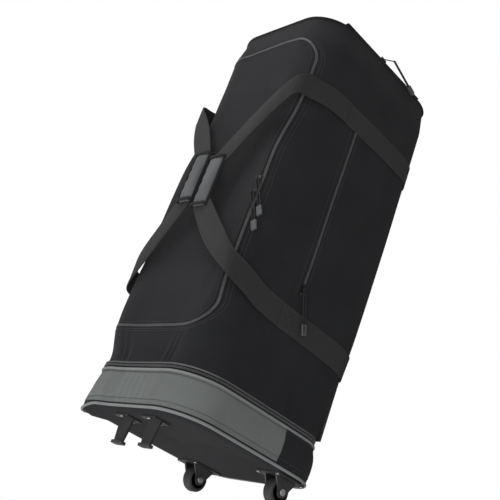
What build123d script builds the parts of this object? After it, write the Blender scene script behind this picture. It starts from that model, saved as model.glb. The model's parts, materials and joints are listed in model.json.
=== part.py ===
"""Wheeled hockey equipment bag, lying on its underside. Millimetres.

+X runs from the wheel end to the far end, -Y is the pocket side, +Z is up through the lid.
The origin is under the middle of the whole bag, on the surface that it rests on.
"""
import os
from math import cos, radians, sin

from build123d import *

# ---- overall sizes
bag_length = 914.0          # wheel-end panel to far-end panel, outside
bag_width = 330.0           # side panel to side panel, outside
bag_height = 384.0          # underside panel to lid, outside
edge_radius = 30.0          # rounding of the four long edges
wall = 3.0                  # fabric with its lining and backing

# ---- wheel-end compartment
compartment_length = 76.0   # grey band, from the wheel-end panel to its zip
compartment_zip_width = 12.0
wrap_height = 135.0         # black base wrap, up from the underside panel
divider_thickness = 2.0
board_thickness = 4.0       # stiffening boards under the floor and behind the wheel-end panel
board_margin = 8.0          # boards stop this far short of the walls
piping_width = 5.0
piping_height = 2.5

# ---- lid and its zip
lid_start = 168.0           # wheel-end panel to the zip's short leg
lid_end = 847.0             # wheel-end panel to the zip's other short leg
lid_zip_inset = 27.0        # side panel to the zip's long leg
lid_corner_radius = 60.0
surround_depth = 12.0       # side panels reach this far past the zip's corners
zip_half_width = 3.0        # one row of teeth with its tape
zip_parting = 0.2           # gap between the two rows of teeth

# ---- webbing handles
web_width = 50.0
web_thickness = 2.4
wheel_web_at = 257.0        # wheel-end panel to the middle of the first pair of legs
far_web_at = 727.0          # and of the second pair
leg_top = 250.0             # top of the sewn legs, above the underside panel
leg_tuck = 15.0             # sewn end under the bag
skin_gap = 0.3              # free webbing lies this far off what is under it
strap_start_gap = 2.0
strap_lid_clearance = 14.0  # free webbing over the lid's near edge
grip_length = 124.0
grip_width = 46.0
grip_thickness = 15.0
grip_height = 34.0          # middle of the grips, above the lid
grip_spacing = 27.0         # middle of each grip from the bag's middle plane
shoulder_drop = 24.0        # straps leave the side this far below the lid
crest_inset = 10.0          # and cross the lid's edge this far in from the side
crest_shift = 7.5           # and this far along towards the grip
mid_share = 0.45            # straps have made part of their turn this far along to the grip
mid_turn = 28.0
mid_lift = 2.0
root_turn = 52.0
root_width = 40.0           # gathered width where they enter the grip
near_grip_at = 469.0        # wheel-end panel to the middle of each grip
far_grip_at = 487.0

# ---- zips in the panels
panel_zip_width = 8.0
pocket_zip_start = 318.0    # side pocket zip, from the wheel-end panel
pocket_zip_end = 722.0
pocket_zip_height = 214.0   # above the underside panel
pocket_depth = 9.0
pocket_drop = 150.0         # pocket bag below its zip
lining = 1.5
end_zip_inset = 9.0         # far-end pocket zip, in from the near side panel
end_zip_low = 60.0          # above the underside panel
end_zip_margin = 54.0       # from its upper end to the lid
end_pocket_width = 180.0

# ---- sliders and pulls
slider_length = 18.0
slider_width = 11.0
slider_height = 4.0
slider_gap = 0.3
slider_corner = 3.3
bail_length = 11.0
bail_width = 2.2
bail_height = 6.0           # above the slider's body
bail_bar = 1.2
cord_diameter = 2.4
cord_half_gap = 3.0         # half the distance between the two strands of a pull
pull_length = 90.0
tip_length = 22.0
tip_width = 12.0
tip_thickness = 5.0
tip_rounding = 1.5
tip_tuck = 5.5              # cord held inside the tip
pull_swivel = 23.0          # pulls lie at this angle to their zips
lid_pull_droop = 6.0        # lid pulls slope down over the near edge
slider_nose_gap = 14.0      # between the two lid sliders
sliders_meet_at = 459.0     # wheel-end panel to where the two lid sliders meet
pocket_slider_at = 329.0
end_slider_height = 198.0   # above the underside panel
compartment_slider_height = 150.0
end_pull_reach = 8.0       # far-end pull hangs this far beyond the near panel
end_pull_lean = 27.0
end_pull_elbow = 16.0

# ---- wheels and their housings
wheel_radius = 26.0
wheel_width = 24.0
tyre_shoulder = 7.2
wheel_spacing = 240.0       # between the two wheels' middles
wheel_height = 72.0         # axle above the underside panel
wheel_to_panel = 1.5
hub_radius = 18.5
bearing_radius = 9.0
bearing_width = 6.0
axle_radius = 4.0
axle_head_radius = 7.0
axle_head_thickness = 2.0
running_clearance = 0.05
press_clearance = 0.02
cheek_thickness = 4.0
cheek_gap = 1.2
cheek_nose_radius = 12.0
flange_thickness = 3.0
flange_height = 84.0
flange_width = 66.0
wheel_slot_gap = 2.0

# ---- stand feet
foot_below_lid = 46.0
foot_spacing = 84.0
foot_base = 40.0
foot_base_thickness = 4.0
foot_pad_length = 34.0
foot_pad_width = 16.0
foot_pad_corner = 6.4
foot_corner = 5.0
foot_fin_inset = 4.0        # fin's narrow end, in from the ends of the pad
foot_fin_thickness = 5.0

# ---- fasteners
screw_radius = 2.0
screw_head_radius = 4.0
screw_head_height = 2.0
screw_clearance = 0.05
housing_screw_y = 26.0
housing_screw_z = 35.0
foot_screw_z = 14.0

# ---- skid rails
rail_height = 6.0
rail_width = 16.0
rail_spacing = 150.0
rail_start = 150.0
rail_end = 860.0
rivet_count = 4
rivet_radius = 2.4
rivet_head_radius = 5.0
rivet_head_height = 1.5
rivet_recess = 2.2

# ---- tow handle
tow_height_at = 250.0       # hinge line above the underside panel
tow_width = 120.0
tow_drop = 70.0
tow_bar = 28.0
tow_thickness = 4.0
tow_gap = 1.0
tow_tab_height = 40.0
tow_tab_thickness = 2.4

# ---- worked out from the sizes above
half_width = bag_width / 2
wheel_standout = 2 * wheel_radius + wheel_to_panel
tow_standout = tow_gap + tow_thickness
wheel_end = -bag_length / 2 + (wheel_standout - tow_standout) / 2
far_end = wheel_end + bag_length
underside = rail_height
lid_level = underside + bag_height
middle_level = underside + bag_height / 2
seam = wheel_end + wall + compartment_length
body_start = seam + compartment_zip_width
body_end = far_end - wall
lid_near = -half_width + lid_zip_inset
hinge_y = half_width - edge_radius
surround_y = lid_near + lid_corner_radius + surround_depth
leg_end = underside + leg_top
end_zip_high = bag_height - end_zip_margin
foot_height_at = bag_height - foot_below_lid
pivot_y = half_width + web_thickness + 2 * skin_gap
wheel_x = wheel_end - wheel_to_panel - wheel_radius
axle_z = underside + wheel_height
beyond = 2 * bag_length


def block(x0, x1, y0, y1, z0, z1):
    """A box given by its lowest and highest corners."""
    centre = Pos((x0 + x1) / 2, (y0 + y1) / 2, (z0 + z1) / 2)
    return centre * Box(x1 - x0, y1 - y0, z1 - z0)


def section(inset):
    """The bag's rounded section, drawn in the YZ plane."""
    outline = RectangleRounded(bag_width - 2 * inset, bag_height - 2 * inset, edge_radius - inset)
    return Pos(0, middle_level, 0) * outline


def slab(x0, x1, inset):
    """The bag's section, solid, from x0 to x1."""
    return extrude(Plane.YZ.offset(x0) * section(inset), x1 - x0)


def ring(x0, x1, outer, inner):
    """A length of the bag's skin, from x0 to x1, between two insets."""
    return slab(x0, x1, outer) - slab(x0, x1, inner)


def lid_outline(inset):
    """The lid's plan shape: square at the hinge, rounded at the near corners."""
    length = lid_end - lid_start - 2 * inset
    width = hinge_y - lid_near - inset
    centre_x = wheel_end + (lid_start + lid_end) / 2
    plan = Pos(centre_x, lid_near + inset + width / 2) * Rectangle(length, width)
    near_corners = plan.vertices().sort_by(Axis.Y)[:2]
    return fillet(near_corners, lid_corner_radius - inset)


def over_lid(plan):
    """Extrude a plan shape through the top skin."""
    return extrude(Pos(0, 0, lid_level - edge_radius) * plan, 2 * edge_radius)


def at(distance):
    """X of a point given by its distance from the wheel-end panel."""
    return wheel_end + distance


# ---- fabric shell
def make_shell():
    skin = ring(body_start, body_end, 0, wall)
    lid_hole = over_lid(lid_outline(-zip_half_width))
    corner_level = underside + edge_radius
    high = lid_level + edge_radius
    below = block(-beyond, beyond, -beyond, beyond, -edge_radius, corner_level)
    near = block(-beyond, beyond, -beyond, surround_y, corner_level, high)
    far = block(-beyond, beyond, hinge_y, beyond, corner_level, high)
    middle = (surround_y, hinge_y, corner_level, high)
    start_strip = block(body_start, at(lid_start) - zip_half_width, *middle)
    end_strip = block(at(lid_end) + zip_half_width, body_end, *middle)
    pocket_slot = block(
        at(pocket_zip_start), at(pocket_zip_end), -beyond, 0,
        underside + pocket_zip_height - panel_zip_width / 2,
        underside + pocket_zip_height + panel_zip_width / 2)
    end_slot = block(
        -beyond, beyond, -half_width + end_zip_inset, -half_width + end_zip_inset + panel_zip_width,
        underside + end_zip_low, underside + end_zip_high)
    end_panel = slab(body_end, far_end, 0)
    return {
        "underside_panel": skin & below,
        "near_side_panel": (skin & near) - lid_hole - pocket_slot,
        "far_side_panel": skin & far,
        "top_strip_wheel_end": skin & start_strip,
        "top_strip_far_end": skin & end_strip,
        "far_end_panel": end_panel - end_slot,
        "pocket_zip": skin & pocket_slot,
        "far_end_zip": end_panel & end_slot,
    }


def make_lid():
    skin = ring(body_start, body_end, 0, wall)
    inner_row = over_lid(lid_outline(zip_parting / 2)) - over_lid(lid_outline(zip_half_width))
    outer_row = over_lid(lid_outline(-zip_half_width)) - over_lid(lid_outline(-zip_parting / 2))
    return {
        "lid_panel": skin & over_lid(lid_outline(zip_half_width)),
        "lid_zip_inner": skin & inner_row,
        "lid_zip_outer": skin & outer_row,
    }


# ---- wheel-end compartment
def screw_places():
    """Y and Z of every screw through the wheel-end panel."""
    places = []
    for side in (-1, 1):
        for across in (-housing_screw_y, housing_screw_y):
            for up in (-housing_screw_z, housing_screw_z):
                places.append((side * wheel_spacing / 2 + across, axle_z + up))
        for up in (-foot_screw_z, foot_screw_z):
            places.append((side * foot_spacing / 2, underside + foot_height_at + up))
    return places


def rod(x0, x1, y, z, radius):
    """A round bar along X."""
    return Pos((x0 + x1) / 2, y, z) * Rot(0, 90, 0) * Cylinder(radius, x1 - x0)


def cross_rod(y0, y1, x, z, radius):
    """A round bar along Y."""
    return Pos(x, (y0 + y1) / 2, z) * Rot(90, 0, 0) * Cylinder(radius, y1 - y0)


def drilled(shape):
    """Cut the wheel-end screws' holes."""
    for y, z in screw_places():
        shape -= rod(wheel_end - wheel_standout, at(2 * wall + board_thickness), y, z,
                     screw_radius + screw_clearance)
    return shape


def make_compartment():
    skin = ring(at(wall), seam, 0, wall)
    wrap_level = underside + wrap_height
    low = block(-beyond, beyond, -beyond, beyond, -edge_radius, wrap_level)
    zip_ring = ring(seam, body_start, 0, wall)
    zip_low = block(-beyond, beyond, -beyond, beyond, -edge_radius, underside + edge_radius)
    board = slab(at(wall), at(wall + board_thickness), wall + board_margin)
    return {
        "wheel_end_panel": drilled(slab(wheel_end, at(wall), 0)),
        "wheel_end_board": drilled(board),
        "grey_band": skin - low,
        "base_wrap": (skin & low) + (zip_ring & zip_low),
        "compartment_zip": zip_ring - zip_low,
        "divider": slab(body_start, body_start + divider_thickness, wall),
        "wheel_end_piping": ring(wheel_end, at(piping_width), -piping_height, 0),
        "compartment_piping": ring(seam - piping_width, seam, -piping_height, 0),
    }


# ---- boards, linings and rails
def rail_places():
    """X of every rivet in a skid rail."""
    step = (rail_end - rail_start) / rivet_count
    return [at(rail_start + step * (i + 0.5)) for i in range(rivet_count)]


def make_base():
    floor = underside + wall
    length = body_end - board_margin - body_start - divider_thickness - board_margin
    board = Pos(body_start + divider_thickness + board_margin + length / 2, 0, floor) * Box(
        length, bag_width - 2 * (edge_radius + board_margin), board_thickness,
        align=(Align.CENTER, Align.CENTER, Align.MIN))
    plan = SlotOverall(rail_end - rail_start, rail_width)
    rails = []
    rivets = []
    for side in (-1, 1):
        rail_y = side * rail_spacing / 2
        rail = extrude(Pos(at((rail_start + rail_end) / 2), rail_y, 0) * plan, rail_height)
        for x in rail_places():
            rail -= Pos(x, rail_y, rivet_recess / 2) * Cylinder(rivet_head_radius, rivet_recess)
            rail -= Pos(x, rail_y, rail_height / 2) * Cylinder(rivet_radius, rail_height)
            head_level = rivet_recess - rivet_head_height
            head = Pos(x, rail_y, head_level) * Cylinder(
                rivet_head_radius, rivet_head_height, align=(Align.CENTER, Align.CENTER, Align.MIN))
            top = floor + board_thickness
            shank = Pos(x, rail_y, rivet_recess) * Cylinder(
                rivet_radius, top - rivet_recess, align=(Align.CENTER, Align.CENTER, Align.MIN))
            washer = Pos(x, rail_y, top) * Cylinder(
                rivet_head_radius, rivet_head_height, align=(Align.CENTER, Align.CENTER, Align.MIN))
            rivets.append(head + shank + washer)
        rails.append(rail)
    return board, rails, rivets


def make_pockets():
    """Flat pouches sewn behind the two panel zips."""
    side_low = underside + pocket_zip_height - pocket_drop
    side_high = underside + pocket_zip_height + panel_zip_width
    inside = -half_width + wall
    pouch = block(at(pocket_zip_start) - lining, at(pocket_zip_end) + lining,
                  inside, inside + pocket_depth, side_low - lining, side_high + lining)
    pouch -= block(at(pocket_zip_start), at(pocket_zip_end),
                   inside, inside + pocket_depth - lining, side_low, side_high)
    end_near = -half_width + end_zip_inset
    end_far = end_near + end_pocket_width
    low = underside + end_zip_low
    high = underside + end_zip_high
    end_pouch = block(body_end - pocket_depth, body_end, end_near - lining, end_far,
                      low - lining, high + lining)
    end_pouch -= block(body_end - pocket_depth + lining, body_end, end_near, end_far - lining,
                       low, high)
    return {"pocket_lining": pouch, "far_end_pocket_lining": end_pouch}


# ---- webbing
def make_legs(side):
    """The two sewn legs on one side, turned under the bag's lower edge."""
    legs = []
    for middle in (wheel_web_at, far_web_at):
        x = at(middle)
        band = ring(x - web_width / 2, x + web_width / 2, -web_thickness, 0)
        inner = half_width - edge_radius - leg_tuck
        legs.append(band & block(-beyond, beyond, *sorted((side * inner, side * beyond)),
                                 -edge_radius, leg_end))
    return legs


def strap_frame(x, y, z, across, width, thickness):
    """Four corners of a strap's cut end: 'across' runs along its width, its thickness is up."""
    half = across * (width / 2)
    up = Vector(0, 0, thickness / 2)
    centre = Vector(x, y, z)
    return [centre - half - up, centre + half - up, centre + half + up, centre - half + up]


def strap(stations):
    """A flat strap lofted through its cut ends."""
    ends = [Wire.make_polygon(corners, close=True) for corners in stations]
    return Solid.make_loft(ends, ruled=True)


def make_handle(side, grip_at):
    """One handle: two free straps and the padded grip that holds them together."""
    skin_y = side * (half_width + skin_gap)
    outer_y = side * (half_width + skin_gap + web_thickness)
    start = leg_end + strap_start_gap
    shoulder = lid_level - shoulder_drop
    crest_y = half_width - crest_inset
    over_level = lid_level + strap_lid_clearance
    grip_y = side * grip_spacing
    grip_x = at(grip_at)
    grip_z = lid_level + grip_height
    along = Vector(1, 0, 0)
    straps = []
    for middle, end in ((wheel_web_at, -1), (far_web_at, 1)):
        x = at(middle)
        half = along * (web_width / 2)
        cuts = []
        for z in (start, shoulder):
            inner = Vector(x, skin_y, z)
            outer = Vector(x, outer_y, z)
            cuts.append([inner - half, inner + half, outer + half, outer - half])
        root_x = grip_x + end * grip_length / 2
        crest_x = x - end * crest_shift
        turn, cross = (Vector(cos(radians(a)), -side * end * sin(radians(a)), 0)
                       for a in (mid_turn, root_turn))
        crest = strap_frame(crest_x, side * crest_y, over_level, along,
                            web_width, web_thickness)
        mid_x = crest_x + (root_x - crest_x) * mid_share
        mid_y = side * (grip_spacing + crest_y) / 2
        mid = strap_frame(mid_x, mid_y, (over_level + grip_z) / 2 + mid_lift, turn,
                          web_width, web_thickness)
        root = strap_frame(root_x, grip_y, grip_z, cross, root_width, web_thickness)
        straps.append(strap(cuts + [crest, mid, root]))
    grip = Pos(grip_x, grip_y, grip_z) * Rot(0, 90, 0) * extrude(
        Ellipse(grip_thickness / 2, grip_width / 2), grip_length / 2, both=True)
    straps = [piece - grip for piece in straps]
    return straps, grip


# ---- sliders and pulls
def slider(origin, along, normal, swivel):
    """A slider on its chain, with the bail that carries its pull."""
    body = Pos(0, 0, slider_gap) * Box(slider_length, slider_width, slider_height,
                                       align=(Align.CENTER, Align.CENTER, Align.MIN))
    body = fillet(body.edges().filter_by(Axis.Z), slider_corner)
    base = slider_gap + slider_height
    arch = Pos(0, 0, base) * Box(bail_length, bail_width, bail_height,
                                 align=(Align.CENTER, Align.CENTER, Align.MIN))
    arch -= Pos(0, 0, base) * Box(bail_length - 2 * bail_bar, bail_width, bail_height - bail_bar,
                                  align=(Align.CENTER, Align.CENTER, Align.MIN))
    shape = body + Rot(0, 0, swivel) * arch
    return Plane(origin=origin, x_dir=along, z_dir=normal) * shape


def pull_height():
    """Middle of the cord where it passes through a bail."""
    return slider_gap + slider_height + (bail_height - bail_bar) / 2


def cord_loop(points):
    """Two strands of cord side by side along a route, closed at the bail."""
    strands = []
    radius = cord_diameter / 2
    for side in (-1, 1):
        route = [point + Vector(0, side * cord_half_gap, 0) for point in points]
        for low, high in zip(route[:-1], route[1:]):
            run = high - low
            strands.append(Plane(origin=low, z_dir=run) * Cylinder(
                radius, run.length, align=(Align.CENTER, Align.CENTER, Align.MIN)))
            strands.append(Pos(high) * Sphere(radius))
        strands.append(Pos(route[0]) * Sphere(radius))
    cross = Pos(points[0]) * Rot(90, 0, 0) * Cylinder(radius, 2 * cord_half_gap)
    loop = cross
    for piece in strands:
        loop += piece
    return loop


def pull(route):
    """A pull along local +X: a doubled cord, and the moulded tip on its end."""
    points = [Vector(*point) for point in route]
    run = (points[-1] - points[-2]).normalized()
    tip_start = points[-1] - run * tip_length
    tip = Box(tip_length, tip_width, tip_thickness, align=(Align.MIN, Align.CENTER, Align.CENTER))
    tip = fillet(tip.edges(), tip_rounding)
    tip = Plane(origin=tip_start, x_dir=run, z_dir=Vector(0, 1, 0).cross(run) * -1) * tip
    loop = cord_loop(points[:-1] + [tip_start + run * tip_tuck]) - tip
    return loop, tip


def straight_pull(origin, direction, normal):
    """A straight pull from a bail, lying along 'direction'."""
    loop, tip = pull([(0, 0, 0), (pull_length, 0, 0)])
    place = Plane(origin=origin, x_dir=direction, z_dir=normal)
    return place * loop, place * tip


def make_zip_hardware():
    nodes = {}
    up = Vector(0, 0, 1)
    lift = pull_height()
    # the two lid sliders, nose to nose on the near leg
    zip_level = lid_level
    droop = radians(lid_pull_droop)
    turn = radians(180 + pull_swivel)
    direction = Vector(cos(turn) * cos(droop), sin(turn) * cos(droop), -sin(droop))
    lean = Vector(cos(turn) * sin(droop), sin(turn) * sin(droop), cos(droop))
    for name, side in (("lid_slider_far", 1), ("lid_slider_wheel", -1)):
        x = at(sliders_meet_at) + side * (slider_length + slider_nose_gap) / 2
        origin = Vector(x, lid_near, zip_level)
        nodes[name] = slider(origin, (1, 0, 0), up, pull_swivel)
        loop, tip = straight_pull(origin + up * lift, direction, lean)
        nodes[name.replace("slider", "pull_cord")] = loop
        nodes[name.replace("slider", "pull_tip")] = tip
    # side pocket
    out = Vector(0, -1, 0)
    origin = Vector(at(pocket_slider_at), -half_width, underside + pocket_zip_height)
    nodes["pocket_slider"] = slider(origin, (1, 0, 0), out, pull_swivel)
    turn = radians(180 + pull_swivel)
    loop, tip = straight_pull(origin + out * lift, Vector(cos(turn), 0, sin(turn)), out)
    nodes["pocket_pull_cord"] = loop
    nodes["pocket_pull_tip"] = tip
    # wheel-end compartment, on the far side
    out = Vector(0, 1, 0)
    origin = Vector(seam + compartment_zip_width / 2, half_width,
                    underside + compartment_slider_height)
    nodes["compartment_slider"] = slider(origin, (0, 0, 1), out, 0)
    loop, tip = straight_pull(origin + out * lift, Vector(0, 0, -1), out)
    nodes["compartment_pull_cord"] = loop
    nodes["compartment_pull_tip"] = tip
    # far-end pocket: its pull hangs over the near edge
    out = Vector(1, 0, 0)
    zip_y = -half_width + end_zip_inset + panel_zip_width / 2
    origin = Vector(far_end, zip_y, underside + end_slider_height)
    nodes["far_end_slider"] = slider(origin, (0, 0, 1), out, 0)
    hinge = origin + out * lift
    reach = half_width + zip_y + end_pull_reach
    drop = (pull_length**2 - end_pull_lean**2) ** 0.5
    bend = (0, reach, end_pull_elbow)
    tail = (end_pull_lean, reach, end_pull_elbow + drop)
    loop, tip = bent_pull(hinge, [(0, 0, 0), bend, tail])
    nodes["far_end_pull_cord"] = loop
    nodes["far_end_pull_tip"] = tip
    return nodes


def bent_pull(hinge, route):
    """A pull that turns over the near edge. Its route is inward, outward and down from the hinge."""
    points = [Vector(hinge.X - inward, hinge.Y - outward, hinge.Z - down)
              for inward, outward, down in route]
    radius = cord_diameter / 2
    run = (points[2] - points[1]).normalized()
    tip_start = points[2] - run * tip_length
    tip = Box(tip_length, tip_width, tip_thickness, align=(Align.MIN, Align.CENTER, Align.CENTER))
    tip = fillet(tip.edges(), tip_rounding)
    tip = Plane(origin=tip_start, x_dir=run, z_dir=(0, -1, 0)) * tip
    joint = points[1]
    loop = Pos(joint) * Sphere(cord_diameter)
    for low, high, bundle in ((points[0], joint, radius), (joint, tip_start, cord_diameter)):
        reach = high - low
        loop += Plane(origin=low, z_dir=reach) * Cylinder(
            bundle, reach.length, align=(Align.CENTER, Align.CENTER, Align.MIN))
    loop += Pos(points[0]) * Sphere(radius)
    return loop - tip, tip


# ---- wheels
def make_wheel(side):
    y = side * wheel_spacing / 2
    half = wheel_width / 2
    tyre = cross_rod(y - half, y + half, wheel_x, axle_z, wheel_radius)
    tyre = fillet(tyre.edges().filter_by(GeomType.CIRCLE), tyre_shoulder)
    tyre -= cross_rod(y - half, y + half, wheel_x, axle_z, hub_radius)
    hub = cross_rod(y - half, y + half, wheel_x, axle_z, hub_radius)
    bore = cross_rod(y - half, y + half, wheel_x, axle_z, axle_radius + running_clearance)
    bearings = []
    for end in (-1, 1):
        inner = y + end * (half - bearing_width)
        low, high = sorted((inner, y + end * half))
        seat = cross_rod(low, high, wheel_x, axle_z, bearing_radius)
        hub -= seat
        bearings.append(seat - bore)
    hub -= bore
    return tyre, hub, bearings


def make_housing(side):
    """A moulded flange with two cheeks that hold the axle."""
    y = side * wheel_spacing / 2
    flange_front = wheel_end - flange_thickness
    flange = block(flange_front, wheel_end, y - flange_width / 2, y + flange_width / 2,
                   axle_z - flange_height / 2, axle_z + flange_height / 2)
    flange = fillet(flange.edges().filter_by(Axis.X), cheek_nose_radius)
    slot_half = wheel_width / 2 + cheek_gap
    slot_reach = wheel_radius + wheel_slot_gap
    flange -= block(flange_front, wheel_end, y - slot_half, y + slot_half,
                    axle_z - slot_reach, axle_z + slot_reach)
    housing = flange
    for end in (-1, 1):
        inner = y + end * slot_half
        low, high = sorted((inner, inner + end * cheek_thickness))
        cheek = cross_rod(low, high, wheel_x, axle_z, cheek_nose_radius)
        foot_half = flange_height / 2 - cheek_nose_radius
        corners = [
            (wheel_x, axle_z - cheek_nose_radius),
            (wheel_end, axle_z - foot_half),
            (wheel_end, axle_z + foot_half),
            (wheel_x, axle_z + cheek_nose_radius),
        ]
        face = make_face(Polyline(*[Vector(x, low, z) for x, z in corners], close=True))
        cheek += extrude(face, amount=high - low, dir=(0, 1, 0))
        housing += cheek
    outer = slot_half + cheek_thickness
    housing -= cross_rod(y - outer, y + outer, wheel_x, axle_z, axle_radius + press_clearance)
    axle = cross_rod(y - outer, y + outer, wheel_x, axle_z, axle_radius)
    for end in (-1, 1):
        low, high = sorted((y + end * outer, y + end * (outer + axle_head_thickness)))
        axle += cross_rod(low, high, wheel_x, axle_z, axle_head_radius)
    return drilled(housing), axle


# ---- stand feet and screws
def make_foot(side):
    """A gusseted foot that stands as far out as the wheels do."""
    y = side * foot_spacing / 2
    z = underside + foot_height_at
    front = wheel_end - wheel_standout
    base = block(wheel_end - foot_base_thickness, wheel_end, y - foot_base / 2, y + foot_base / 2,
                 z - foot_base / 2, z + foot_base / 2)
    base = fillet(base.edges().filter_by(Axis.X), foot_corner)
    pad_depth = foot_fin_thickness
    pad = block(front, front + pad_depth, y - foot_pad_length / 2, y + foot_pad_length / 2,
                z - foot_pad_width / 2, z + foot_pad_width / 2)
    pad = fillet(pad.edges().filter_by(Axis.X), foot_pad_corner)
    web_half = foot_fin_thickness / 2
    shoulder = foot_base / 2
    flat = make_face(Polyline(
        Vector(front + pad_depth, y - foot_pad_length / 2 + foot_fin_inset, z - web_half),
        Vector(front + pad_depth, y + foot_pad_length / 2 - foot_fin_inset, z - web_half),
        Vector(wheel_end - foot_base_thickness, y + shoulder, z - web_half),
        Vector(wheel_end - foot_base_thickness, y - shoulder, z - web_half), close=True))
    fin = extrude(flat, amount=foot_fin_thickness, dir=(0, 0, 1))
    return drilled(base + pad + fin)


def make_screws():
    screws = []
    inner = at(wall + board_thickness)
    for y, z in screw_places():
        is_foot = z > middle_level
        face = wheel_end - (foot_base_thickness if is_foot else flange_thickness)
        shank = rod(face, inner, y, z, screw_radius)
        head = rod(face - screw_head_height, face, y, z, screw_head_radius)
        nut = rod(inner, inner + screw_head_height, y, z, screw_head_radius)
        screws.append(shank + head + nut)
    return screws


# ---- tow handle
def make_tow_handle():
    """A webbing loop that hangs against the far-end panel from two sewn tabs."""
    hinge_z = underside + tow_height_at
    x0 = far_end + tow_gap
    x1 = x0 + tow_thickness
    half = tow_width / 2
    loop = block(x0, x1, -half, half, hinge_z - tow_drop, hinge_z)
    loop = fillet(loop.edges().filter_by(Axis.X).group_by(Axis.Z)[0], tow_bar / 2)
    loop -= block(x0, x1, -half + tow_bar, half - tow_bar, hinge_z - tow_drop + tow_bar, hinge_z)
    tabs = []
    for side in (-1, 1):
        low, high = sorted((side * half, side * (half - tow_bar)))
        tabs.append(block(far_end, far_end + tow_tab_thickness, low, high,
                          hinge_z + tow_thickness, hinge_z + tow_thickness + tow_tab_height))
    return loop, tabs


def save(name, shape):
    """Write one node. A list is a group of separate identical solids."""
    solids = shape if isinstance(shape, list) else [shape]
    pieces = []
    for piece in solids:
        pieces.extend(piece.solids())
    node = pieces[0] if len(pieces) == 1 else Compound(children=pieces)
    node.label = name
    export_step(node, f"parts/{name}.step")


def main():
    os.makedirs("parts", exist_ok=True)
    nodes = {}
    nodes.update(make_shell())
    nodes.update(make_lid())
    nodes.update(make_compartment())
    nodes.update(make_pockets())
    nodes.update(make_zip_hardware())
    board, rails, rivets = make_base()
    for rivet in rivets:
        board -= rivet
        nodes["underside_panel"] -= rivet
    nodes["base_board"] = board
    nodes["skid_rails"] = rails
    nodes["skid_rivets"] = rivets
    nodes["near_web_legs"] = make_legs(-1)
    nodes["far_web_legs"] = make_legs(1)
    axles = []
    feet = []
    for name, side, grip_at in (("near", -1, near_grip_at), ("far", 1, far_grip_at)):
        straps, grip = make_handle(side, grip_at)
        nodes[f"{name}_strap_wheel_end"] = straps[0]
        nodes[f"{name}_strap_far_end"] = straps[1]
        nodes[f"{name}_grip"] = grip
        tyre, hub, bearings = make_wheel(side)
        nodes[f"{name}_tyre"] = tyre
        nodes[f"{name}_hub"] = hub
        nodes[f"{name}_bearings"] = bearings
        housing, axle = make_housing(side)
        nodes[f"{name}_wheel_housing"] = housing
        axles.append(axle)
        feet.append(make_foot(side))
    nodes["wheel_axles"] = axles
    nodes["stand_feet"] = feet
    nodes["panel_screws"] = make_screws()
    tow_loop, tow_tabs = make_tow_handle()
    nodes["tow_handle"] = tow_loop
    nodes["tow_tabs"] = tow_tabs
    for name, shape in nodes.items():
        save(name, shape)


main()
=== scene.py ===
# %% [markdown]
# # A wheeled hockey equipment bag
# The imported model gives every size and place. This script dresses it: soft panels, zips, webbing,
# piping, padded grips, moulded fittings and their finishes. Everything is in metres, with +X from
# the wheel end to the far end, -Y towards the side pocket and +Z up through the lid.

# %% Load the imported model
import json
import math

import bmesh
import bpy
from mathutils import Matrix, Vector, noise

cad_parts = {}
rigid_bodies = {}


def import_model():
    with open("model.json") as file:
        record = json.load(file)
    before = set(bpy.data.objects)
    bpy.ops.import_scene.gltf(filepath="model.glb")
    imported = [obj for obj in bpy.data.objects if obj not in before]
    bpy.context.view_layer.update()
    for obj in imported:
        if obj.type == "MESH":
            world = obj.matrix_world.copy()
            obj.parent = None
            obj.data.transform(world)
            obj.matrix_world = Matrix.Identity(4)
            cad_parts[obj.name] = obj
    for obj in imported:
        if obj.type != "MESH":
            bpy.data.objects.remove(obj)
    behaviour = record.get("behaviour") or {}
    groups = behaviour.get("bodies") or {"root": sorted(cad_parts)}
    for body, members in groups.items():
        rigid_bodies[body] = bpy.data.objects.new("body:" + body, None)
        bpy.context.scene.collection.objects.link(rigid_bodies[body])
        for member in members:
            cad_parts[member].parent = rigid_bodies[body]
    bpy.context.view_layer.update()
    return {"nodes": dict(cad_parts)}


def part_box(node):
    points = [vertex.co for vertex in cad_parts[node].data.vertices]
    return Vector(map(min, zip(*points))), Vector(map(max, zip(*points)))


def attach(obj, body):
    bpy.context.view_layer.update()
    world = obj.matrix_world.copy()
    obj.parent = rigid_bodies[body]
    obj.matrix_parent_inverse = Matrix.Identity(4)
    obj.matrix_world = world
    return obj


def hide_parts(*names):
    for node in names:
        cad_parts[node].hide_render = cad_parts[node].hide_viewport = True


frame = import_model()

# %% [markdown]
# ## Small helpers
# An operator acts on whatever is selected, so each helper starts from nothing selected. Each one
# does what a person would do by hand in the same order: add, shape, apply.

# %% Helpers for objects and modifiers


def deselect():
    if bpy.context.mode != "OBJECT":
        bpy.ops.object.mode_set(mode="OBJECT")
    bpy.ops.object.select_all(action="DESELECT")


def pick(obj):
    """Select one object and make it the active one."""
    deselect()
    obj.select_set(True)
    bpy.context.view_layer.objects.active = obj
    return obj


def named(name):
    """Name the object that an operator has just added."""
    obj = bpy.context.active_object
    obj.name = name
    obj.data.name = name
    return obj


def settle(obj):
    """Put the object's place, turn and size into its mesh."""
    pick(obj)
    bpy.ops.object.transform_apply(location=True, rotation=True, scale=True)
    return obj


def modify(obj, kind, **settings):
    """Add a modifier, set it and apply it."""
    pick(obj)
    modifier = obj.modifiers.new(kind.lower(), kind)
    for key, value in settings.items():
        setattr(modifier, key, value)
    bpy.ops.object.modifier_apply(modifier=modifier.name)
    return obj


def edit_all(obj, *steps):
    """Run edit-mode operators on the whole mesh."""
    pick(obj)
    bpy.ops.object.mode_set(mode="EDIT")
    bpy.ops.mesh.select_all(action="SELECT")
    for step in steps:
        step()
    bpy.ops.object.mode_set(mode="OBJECT")
    return obj


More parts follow.
